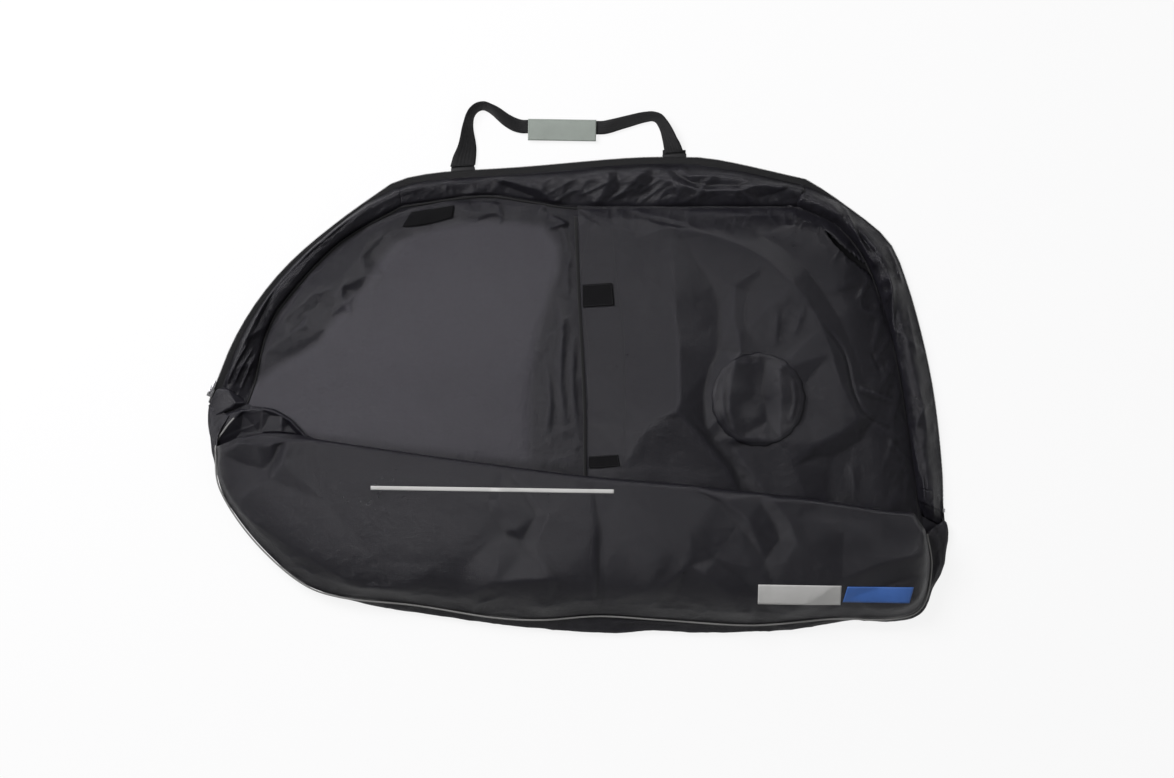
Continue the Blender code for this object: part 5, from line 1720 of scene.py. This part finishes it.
    def make_tabs(self) -> None:
        """Builds the two closing tabs of hook tape at the pocket's mouth."""
        mouth = PLAN.curve(PLAN.mouth)
        for name, node, share, width, body in (
                ("pocket_tab_upper_tape", "pocket_tab_upper", 209, 0.044, "pocket_tab"),
                ("pocket_tab_lower_tape", "pocket_tab_lower", -140, 0.022, "bag_back")):
            middle = PLAN.place((0, share))[1]
            start = float(np.interp(middle, mouth[:, 1], mouth[:, 0])) + 0.0032
            across, up = np.linspace(0, 1, 34)[None], np.linspace(-0.5, 0.5, 24)[:, None]
            x = start + self.tab_length * across - up * 0.004 * across
            y = middle + up * width + 0.004 * across
            under = self.surface(x, y)
            lift = PLAN.cloth / 2 + 0.0014 + self.clearance
            z = np.maximum(under * 0.8 + np.max(under[:, :1]) * 0.2 + lift, under + 0.0016)
            z = z + 0.0008 * ease(across / 0.3) * (wander(x, y, 0.02, 66) + 0.5)
            points = np.dstack([x, y, z])
            self.kit.cloth(name, points, Looks.HOOK, 0.0018, body, node, "laid", ["wheel_pocket_cloth"],
                           (self.tab_length, width))
            rim = np.vstack([points[1, 1:-1], points[1:-1, -2], points[-2, 1:-1][::-1]])
            self.kit.seam(node + "_stitches", rim + np.array([0, 0, 0.0011]), body, 0.0035)


@dataclass
class FrontPanel:
    """The front panel, folded over and tucked under itself, with all that is sewn to it."""

    kit: Workshop
    tuck_lift: float = 0.062
    left_lift_share: float = 0.6
    fold_radius: float = 0.009
    tuck_radius: float = 0.0035
    tuck_share: float = 0.6
    tuck_end: float = 0.018
    tape_width: float = 0.007
    foam_drop: float = 0.0034
    lining_drop: float = 0.006
    ease_power: float = 6
    crease_gain: float = 1.35
    spans: int = 320
    bars_end: tuple[float, float] = (447, -416)
    strip_middle: tuple[float, float] = (-115, -196)
    strip_size: tuple[float, float] = (0.48, 0.008)
    grey_size: tuple[float, float] = (0.164, 0.04)
    blue_size: tuple[float, float] = (0.132, 0.032)
    bar_gap: float = 0.008
    print_grain: float = 0.003
    print_slope: float = 0.014
    print_lift: float = 0.0006
    tip_piping: Line = ((-683, -102), (-694, -114), (-706, -130), (-715, -142), (-720, -154))
    facets: Facets = Facets((
        ((-674, -138), (-494, -146), (-314, -170), (-144, -194), (24, -210), (206, -228), (366, -248),
         (506, -260), (664, -278), (718, -282)),
        ((-742, -146), (-742, -226), (-702, -310), (-638, -370), (-554, -430), (-464, -478), (-354, -498),
         (-294, -502), (-144, -518), (-34, -514, 1), (46, -510, 2), (146, -518), (226, -526), (366, -534),
         (446, -530), (606, -518), (726, -466), (734, -346)),
        ((-710, -202, 3), (-686, -272, 8), (-636, -312, 10), (-586, -342, 10), (-536, -372, 10),
         (-470, -412, 10), (-406, -436, 10), (-350, -452, 8), (-298, -470, 5)),
        ((-716, -160, 4), (-671, -152, 8), (-630, -154, 9), (-604, -154, 9), (-586, -140, 5)),
        ((-700, -176, 1), (-654, -194), (-622, -204), (-602, -186), (-588, -154, 2)),
        ((-572, -146, 7), (-582, -190, 7), (-606, -222, 4)),
        ((-274, -386, 4), (-240, -460, 6), (-160, -426, 12), (-56, -416, 12)),
        ((-56, -416, 12), (-86, -452, 7), (-106, -478, 2), (-106, -506)),
        ((-240, -478, 2), (-150, -498)),
        ((-30, -422, 7), (-50, -462, 6), (-58, -498, 4)),
        ((-180, -266, 2), (-146, -326, 2)),
        ((-156, -262, 6), (-120, -322, 6)),
        ((-80, -292, 2), (-106, -342, 2), (-100, -366, 3)),
        ((-56, -292, 6), (-80, -346, 6), (-76, -370, 6)),
        ((34, -322, 6), (34, -470, 5)),
        ((48, -326, 3), (50, -468, 2)),
        ((146, -478, 4), (162, -434, 11), (178, -424, 11), (218, -392, 11), (252, -408, 11),
         (294, -444, 10), (324, -484, 7), (350, -518, 4)),
        ((178, -424, 11), (198, -454, 4), (212, -498, 1)),
        ((246, -466, 4), (286, -510, 3)),
        ((270, -378, 3), (322, -414, 1), (362, -458), (400, -508)),
        ((344, -398, 4), (390, -446, 4), (418, -478, 6)),
        ((448, -474, 7), (426, -494, 5), (418, -514, 3)),
        ((470, -486, 2), (454, -514, 1)),
        ((270, -262, 2), (316, -310, 2)),
        ((292, -260, 8), (338, -302, 8)),
        ((360, -266, 3), (390, -312, 2), (400, -342, 1), (370, -382, 2)),
        ((386, -262, 9), (420, -306, 9), (432, -346, 9), (402, -390, 6)),
        ((522, -420, 9), (566, -400, 11), (618, -380, 11), (698, -368, 9)),
        ((542, -454, 2), (590, -438, 1), (638, -420, 1), (706, -404, 3)),
        ((616, -498, 6), (656, -476, 8), (694, -446, 7)),
        ((-494, -266, 3), (-314, -296, 4), (-214, -386, 4), (-394, -386, 3)),
        ((126, -306, 6), (226, -326, 6)),
        ((526, -306, 4), (646, -322, 5)),
    ), 3.2)
    folds: tuple[Fold, ...] = (
        Fold(((-554, -414), (-494, -442), (-434, -454), (-364, -462)), 3, 8, 10),
        Fold(((40, -322), (42, -386), (40, -470)), -2, 8, 8),
        Fold(((-494, -206), (-314, -226), (-114, -266)), 3, 50, 60, 0.3, Shape.ROUND),
        Fold(((66, -266), (126, -346), (166, -426)), 3, 50, 60, 0.3, Shape.ROUND),
        Fold(((446, -306), (506, -326), (606, -330)), 4, 36, 50, 0.3, Shape.ROUND),
    )

    def sections(self, spans: int) -> tuple[Points, Points, Points]:
        """Lays out the panel's upright sections.

        Args:
            spans: how many spans lie between them.

        Returns:
            Their feet, their folds and the height share of each.
        """
        feet = spaced(PLAN.curve(PLAN.front_seam), spans)
        folds = spaced(PLAN.curve(PLAN.fold), spans)
        middle = PLAN.place(PLAN.mouth[0])[0]
        share = np.interp(folds[:, 0], [folds[0, 0], middle], [self.left_lift_share, 1.0])
        return feet, folds, share

    def shell(self) -> tuple[Points, int]:
        """Shapes the outer cloth: over, round the fold, back and under again.

        Returns:
            Its points, one row for each section, and how many columns lie on top.
        """
        feet, folds, low = self.sections(self.spans)
        run = np.linalg.norm(folds - feet, axis=1)
        way = (folds - feet) / run[:, None]
        third = self.tuck_lift * low
        second = third + 2 * self.tuck_radius
        top = second + 2 * self.fold_radius
        over = np.concatenate([np.linspace(0, 0.14, 14, endpoint=False), np.linspace(0.14, 1, 56)])[:-1]
        straight = run - self.fold_radius
        turns = np.linspace(QUARTER_TURN, -QUARTER_TURN, 9)
        small = turns[::2]
        rear = run * (1 - self.tuck_share)
        back = np.linspace(0, 1, 9)[1:-1]
        along, height = [], []
        for s in over:
            along.append(straight * s)
            height.append(PLAN.front_lift + (top - PLAN.front_lift) * (1 - (1 - s) ** self.ease_power))
        for a in turns:
            along.append(straight + self.fold_radius * math.cos(a))
            height.append(second + self.fold_radius * (1 + math.sin(a)))
        for s in back:
            along.append(straight + (rear + self.tuck_radius - straight) * s)
            height.append(second)
        for a in small:
            along.append(rear + self.tuck_radius * (1 - math.cos(a)))
            height.append(third + self.tuck_radius * (1 + math.sin(a)))
        for s in np.linspace(0, 1, 9)[1:]:
            along.append(rear + self.tuck_radius + (run - self.tuck_end - rear - self.tuck_radius) * s)
            height.append(third)
        along, height = np.stack(along, axis=1), np.stack(height, axis=1)
        plan = feet[:, None] + way[:, None] * along[..., None]
        points = np.dstack([plan, height])
        count = len(over)
        x, y = plan[..., 0], plan[..., 1]
        lift = relief(x, y, self.folds) + self.crease_gain * self.facets.lift(x, y)
        lift += wander(x, y, 0.11, 71) * 0.0014
        lift += wander(x, y, 0.04, 72) * 0.0004 + (crumple(x, y, 0.08, 73, 1.5, 60) - 0.4) * 0.001
        share = np.concatenate([over, np.ones(len(height[0]) - count)])
        held = ease(share / 0.1)
        held[count:] = 0
        for index, a in enumerate(turns):
            held[count + index] = (math.sin(a) + 1) / 2
        ends = np.linspace(0, 1, self.spans + 1)[:, None]
        points[..., 2] += lift * held[None] * ease(ends / 0.02) * ease((1 - ends) / 0.01)
        near_seam = ease(share / 0.03) * ease((0.22 - share) / 0.15)
        points[..., 2] += (crumple(x, y, 0.03, 74, 2.0, 0) - 0.4) * 0.004 * near_seam[None]
        return points, count

    def make(self) -> None:
        """Builds and dresses the front panel."""
        points, count = self.shell()
        made = self.kit.cloth("front_panel_cloth", points, Looks.SHELL, PLAN.cloth * 0.8, "front",
                              "front_panel", "folded", ["wheel_pocket_cloth", "back_lining_cloth"])
        self.make_under(points, count)
        self.make_piping()
        self.make_zip()
        self.make_prints(made)

    def make_under(self, points: Points, count: int) -> None:
        """Builds the foam and the lining under the panel's upper layer.

        Args:
            points: the outer cloth's points.
            count: how many of its columns lie on top.
        """
        top = points[26:-26:2, 6:count - 3]
        slope = np.gradient(top[..., 2], axis=1)
        run = np.linalg.norm(np.gradient(top[..., :2], axis=1), axis=2)
        scale = np.hypot(slope / run, 1)
        under = [np.dstack([top[..., :2], top[..., 2] - drop * scale])
                 for drop in (self.foam_drop, self.lining_drop)]
        foam = self.kit.cloth("front_foam_layer", under[0], Looks.FOAM, 0.0026, "front", "front_foam_pad")
        self.kit.cloth("front_lining_cloth", under[1], Looks.LINING, 0.0009, "front", "front_lining",
                       "laid", ["front_foam_layer"], pad=np.ones(scale.shape))

    def make_piping(self) -> None:
        """Builds the pale piping in the seam and the stitches beside it."""
        feet = self.sections(400)[0]
        line = feet - outward(feet) * (PLAN.piping / 2 + PLAN.cloth)
        sway = wander(line[:, 0], line[:, 1], 0.07, 81) * 0.0012
        top = np.column_stack([line, np.full(len(line), PLAN.front_lift) + sway])
        tip = spaced(smooth(self.tip_piping) * MM, 20)
        lift = Gusset(self.kit).gore.lift(tip[:, 0], tip[:, 1]) + 0.0016
        keep = np.linalg.norm(line - tip[-1], axis=1) > 0.006
        top = np.vstack([np.column_stack([tip, lift]), top[np.argmax(keep):]])
        self.kit.place("front_piping_cord", tube(top, 0.0017, 10), Looks.PIPING, "front", "front_piping")

    def make_zip(self) -> None:
        """Builds the panel's half of the zip, at the free edge of the tucked cloth."""
        feet, folds, low = self.sections(300)
        feet, folds, low = feet[24:-24], folds[24:-24], low[24:-24]
        way = (folds - feet) / np.linalg.norm(folds - feet, axis=1)[:, None]
        height = self.tuck_lift * low
        offsets = np.array([PLAN.cloth, self.tape_width / 2, self.tape_width]) - self.tuck_end
        plan = folds[:, None] + way[:, None] * offsets[None, :, None]
        points = np.dstack([plan, height[:, None] + np.array([0, 0.0004, 0])[None]])
        self.kit.cloth("front_zip_tape_cloth", points, Looks.TAPE, 0.0007, "front", "front_zip_tape")
        line = np.column_stack([folds + way * (self.tape_width + 0.0022 - self.tuck_end), height])
        self.kit.place("front_zip_coil_wound", coil(line, 0.0015), Looks.COIL, "front", "front_zip_coil")

    def make_prints(self, panel: Piece) -> None:
        """Lays the plain silver strip and the two plain bars on the panel.

        Args:
            panel: the panel that they lie on.
        """
        end = PLAN.place(self.bars_end)
        blue = end - np.array([self.blue_size[0] / 2, 0])
        grey = end - np.array([self.blue_size[0] + self.bar_gap + self.grey_size[0] / 2, 0])
        prints = (("silver_strip", PLAN.place(self.strip_middle), self.strip_size, 0.0, Looks.SILVER),
                  ("grey_bar", grey, self.grey_size, 0.0, Looks.SILVER),
                  ("blue_bar", blue, self.blue_size, 0.25, Looks.BLUE))
        for node, centre, size, lean, look in prints:
            length, width = size
            u = np.linspace(-0.5, 0.5, max(12, round(length / self.print_grain)))[None]
            v = np.linspace(-0.5, 0.5, max(4, round(width / self.print_grain)))[:, None]
            x = centre[0] + u * length + v * width * lean + 0 * v
            y = centre[1] + v * width - self.print_slope * u * length + 0 * u
            points = np.dstack([x, y, fallen(panel, x, y) + self.print_lift])
            self.kit.cloth(node + "_print", points, look, 0.0003, "front", node, "laid",
                           ["front_panel_cloth"], size)


@dataclass
class CarryStrap:
    """The webbing loop, its sewn ends, and the grip that wraps it."""

    kit: Workshop
    width: float = 0.048
    thick: float = 0.0036
    folded: float = 0.025
    rise: float = 0.1165
    standoff: float = 0.01
    lift: float = 0.0006
    leaf: float = 0.0016
    clearance: float = 0.0009
    grip_length: float = 0.136
    grip_width: float = 0.041
    feet_shares: tuple[float, float] = (-156.7, 130.0)
    grip_stretch: tuple[float, float] = (0.36, 0.6)
    route: Line = ((0.0, 0.0), (0.027, 0.31), (0.037, 0.66), (0.06, 0.9), (0.109, 1.0),
                   (0.164, 0.91), (0.225, 0.72), (0.282, 0.616), (0.36, 0.594),
                   (0.6, 0.525), (0.678, 0.503), (0.782, 0.57), (0.873, 0.63),
                   (0.93, 0.61), (0.964, 0.43), (0.984, 0.2), (1.0, 0.0))
    turning: Line = ((0.0, 0.0), (0.08, 0.3), (0.16, 0.6), (0.26, 0.6), (0.34, 0.3), (0.39, 0.0),
                     (0.67, 0.0), (0.72, 0.3), (0.85, 0.55), (0.96, 0.3), (1.0, 0.0))
    narrowing: Line = ((0.0, 0.0), (0.12, 0.8), (0.18, 1.0), (0.9, 1.0), (1.0, 0.55))

    def feet(self) -> tuple[Points, Points]:
        """Returns where the two ends of the strap leave the gusset's edge."""
        line = PLAN.curve(PLAN.edge_top)
        xs = [PLAN.place((share, 0))[0] for share in self.feet_shares]
        return tuple(np.array([x, np.interp(x, line[:, 0], line[:, 1]) + self.standoff]) for x in xs)

    def line(self, route: Line) -> Points:
        """Lays out points of the strap's route in plan.

        Args:
            route: the points, as shares of its span and rise.

        Returns:
            The points, in metres.
        """
        left, right = self.feet()
        span = right - left
        away = np.array([-span[1], span[0]]) / np.linalg.norm(span)
        return np.array([left + span * a + away * self.rise * b for a, b in route])

    def strap_points(self) -> Points:
        """Shapes the strap, turned on edge where it bends.

        Returns:
            Its points, one row for each step along it.
        """
        line = spaced(smooth(self.line(self.route)), 46)
        side = outward(line)
        left, right = self.feet()
        side[-1] = (right - left) / np.linalg.norm(right - left)
        side[0] = -side[-1]
        share = np.linspace(0, 1, 47)
        turn = np.interp(share, *zip(*self.turning)) * QUARTER_TURN
        narrow = np.interp(share, *zip(*self.narrowing))
        half = (self.width + (self.folded - self.width) * narrow) / 2
        rise = self.lift + self.leaf + self.clearance + self.thick / 2 + half * np.sin(turn)
        reach = side * (half * np.cos(turn))[:, None]
        climb = half * np.sin(turn)
        low = np.column_stack([line - reach, rise - climb])
        high = np.column_stack([line + reach, rise + climb])
        fine = np.stack([at(smooth(edge), np.linspace(0, 1, 185)) for edge in (low, high)])
        across = np.linspace(0, 1, 9)
        return fine[0][:, None] + (fine[1] - fine[0])[:, None] * across[None, :, None]

    def make(self) -> None:
        """Builds and dresses the strap."""
        points = self.strap_points()
        self.kit.cloth("carry_strap_webbing", points, Looks.WEBBING, 0.002, "strap", "carry_strap",
                       "folded", ["strap_anchor_left", "strap_anchor_right"],
                       (self.width, flat_size(points)[1]))
        for column, side in ((0, "left"), (8, "right")):
            self.kit.place(f"carry_strap_selvedge_{side}", tube(points[:, column], 0.0011, 6),
                           Looks.WEBBING, "strap")
        for node in ("strap_anchor_left", "strap_anchor_right"):
            self.kit.part(node, "webbing", Looks.WEBBING, "bag_back", 0.0005)
        for side, foot in zip(("left", "right"), self.feet()):
            x = foot[0] + np.linspace(-0.5, 0.5, 12)[None] * (self.width - 0.002)
            y = foot[1] + np.linspace(-0.014, 0.005, 7)[:, None]
            points = np.dstack(np.broadcast_arrays(x, y, 0.0022))
            self.kit.cloth(f"strap_anchor_{side}_lap", points, Looks.WEBBING, 0.0011, "bag_back", "",
                           "laid", ["strap_anchor_" + side])
        self.make_grip()

    def make_grip(self) -> None:
        """Builds the canvas grip: a folded sleeve under the strap and the leaf over it."""
        ends = self.line([p for p in self.route if p[0] in self.grip_stretch])
        along = (ends[1] - ends[0]) / np.linalg.norm(ends[1] - ends[0])
        across = np.array([-along[1], along[0]])
        centre = ends.mean(0)
        height = self.lift + self.leaf + self.clearance + self.thick / 2
        room = self.thick / 2 + self.clearance
        outer = self.folded / 2 + self.clearance
        far = outer - self.grip_width
        wall = self.leaf * 0.8
        mid = room + self.leaf / 2
        rear = outer + self.leaf / 2

        def sweep(profile: Points) -> Points:
            """Draws a profile along the grip.

            Args:
                profile: places across the grip and heights.

            Returns:
                The grid, one row for each step.
            """
            flat = centre + np.outer(profile[:, 0], across)
            return np.stack([np.column_stack([flat + along * s * self.grip_length,
                                              height + profile[:, 1]])
                             for s in np.linspace(-0.5, 0.5, 60)])

        corner = [(rear - 0.0022, -mid), (rear - 0.0006, -mid + 0.0006), (rear, -mid + 0.0022)]
        under = smooth([(far, -mid), (far * 0.4, -mid), (0.004, -mid), *corner,
                        (rear, 0.0), (rear, room - 0.0006)])
        grid = sweep(at(under, np.linspace(0, 1, 26)))
        self.kit.cloth("grip_sleeve_canvas", grid, Looks.GRIP, wall, "grip", "grip_sleeve", "folded",
                       ["carry_strap_webbing"])
        over = smooth([(far, mid + 0.0003), (far * 0.5, mid + 0.0009), (0.0, mid + 0.0011),
                       (rear * 0.6, mid + 0.0008), (rear - 0.0006, mid + 0.0002)])
        grid = sweep(at(over, np.linspace(0, 1, 26)))
        grid[..., 2] += wander(grid[..., 0], grid[..., 1], 0.02, 91) * 0.0005
        self.kit.cloth("grip_leaf_canvas", grid, Looks.GRIP, wall, "grip_flap", "grip_leaf", "folded",
                       ["grip_sleeve_canvas"])
        rim = np.vstack([grid[1:-1, 1], grid[-2, 1:-1], grid[1:-1, -2][::-1], grid[1, 1:-1][::-1]])
        self.kit.seam("grip_leaf_stitches", rim + np.array([0, 0, 0.0008]), "grip_flap", 0.0035,
                      Looks.GRIP)
        for name, node, low, body in (("grip_hook_tape", "grip_hook_strip", room - 0.0004, "grip_flap"),
                                      ("grip_loop_tape", "grip_loop_strip", -room + 0.0006, "grip")):
            profile = np.array([(far + 0.0006 + 0.0072 * s, low) for s in np.linspace(0, 1, 8)])
            self.kit.cloth(name, sweep(profile), Looks.HOOK, 0.0006, body, node)


@dataclass
class Studio:
    """The camera, the lamps, the world and the pale floor."""

    camera_height: float = 6.0
    view_width: float = 2.348
    sensor: float = 36.0
    middle: tuple[float, float] = (0.02, -0.044)
    floor_size: float = 60.0
    floor_drop: float = 0.0004
    lamp_colour: tuple[float, float, float] = (0.985, 0.97, 1.0)

    def make(self) -> None:
        """Sets up the studio."""
        self.make_camera()
        self.make_lights()
        self.make_floor()

    def make_camera(self) -> None:
        """Hangs the camera over the bag, looking straight down."""
        data = bpy.data.cameras.new("camera")
        data.sensor_width = self.sensor
        data.lens = self.sensor * self.camera_height / self.view_width
        data.clip_end = 100
        camera = linked("camera", data)
        camera.location = (*self.middle, self.camera_height)
        bpy.context.scene.camera = camera

    def make_lamp(self, name: str, place: Sequence[float], size: float, power: float) -> None:
        """Hangs a soft lamp that faces the bag.

        Args:
            name: its name.
            place: where it hangs.
            size: the side of its square.
            power: its power in watts.
        """
        data = bpy.data.lights.new(name, "AREA")
        data.size, data.energy, data.color = size, power, self.lamp_colour
        lamp = linked(name, data)
        lamp.location = place
        lamp.rotation_euler = (-Vector(place)).to_track_quat("-Z", "Y").to_euler()

    def make_lights(self) -> None:
        """Lights the bag from the upper left, with a pale world around."""
        self.make_lamp("key_lamp", (-2.3, 2.0, 3.1), 2.0, 208)
        self.make_lamp("fill_lamp", (2.6, -0.6, 3.6), 2.4, 25)
        world = bpy.data.worlds.new("world")
        bpy.context.scene.world = world
        world.use_nodes = True
        back = world.node_tree.nodes["Background"]
        nodes, links = world.node_tree.nodes, world.node_tree.links
        path = nodes.new("ShaderNodeLightPath")
        seen = nodes.new("ShaderNodeMath")
        seen.operation = "MAXIMUM"
        links.new(path.outputs["Is Camera Ray"], seen.inputs[0])
        links.new(path.outputs["Is Transmission Ray"], seen.inputs[1])
        strength = nodes.new("ShaderNodeMix")
        links.new(seen.outputs[0], strength.inputs["Factor"])
        strength.inputs[2].default_value = 0.2
        strength.inputs[3].default_value = 1.0
        links.new(strength.outputs[0], back.inputs["Strength"])
        back.inputs["Color"].default_value = (1.0, 1.0, 1.0, 1.0)
        bpy.context.scene.view_settings.view_transform = "Standard"

    def make_floor(self) -> None:
        """Lays the pale floor, which keeps the bag's shadow."""
        mesh = bpy.data.meshes.new("floor")
        with editing(mesh) as bm:
            bmesh.ops.create_grid(bm, x_segments=4, y_segments=4, size=self.floor_size / 2)
            bmesh.ops.translate(bm, verts=bm.verts, vec=(0, 0, -self.floor_drop))
        g = Graph("floor_look")
        g.put(g.shader.inputs["Base Color"], (0.82, 0.82, 0.82, 1.0))
        g.put(g.shader.inputs["Roughness"], g.sum("MULTIPLY_ADD", g.noise(3.0), 0.1, 0.8))
        path = g.node("LightPath", {})
        seen = g.sum("MAXIMUM", path.outputs["Is Camera Ray"], path.outputs["Is Glossy Ray"])
        seen = g.sum("MAXIMUM", seen, path.outputs["Is Transmission Ray"])
        glow = g.node("Emission", {"Color": (1.0, 1.0, 1.0, 1.0), "Strength": 1.0})
        mixed = g.node("MixShader", {0: g.sum("MULTIPLY", seen, 0.86), 1: g.shader.outputs[0],
                                     2: glow.outputs[0]})
        g.put(g.tree.nodes["Material Output"].inputs["Surface"], mixed.outputs[0])
        mesh.materials.append(g.material)
        linked("floor", mesh)


def main() -> None:
    """Builds and dresses the bag, piece by piece."""
    logging.basicConfig(level=logging.INFO, format="%(name)s %(message)s")
    Studio().make()
    kit = Workshop()
    for part in (Back(kit), Gusset(kit), WheelPocket(kit), FrontPanel(kit), CarryStrap(kit)):
        part.make()
        LOG.info("%s is made", type(part).__name__)


if __name__ == "__main__":
    main()
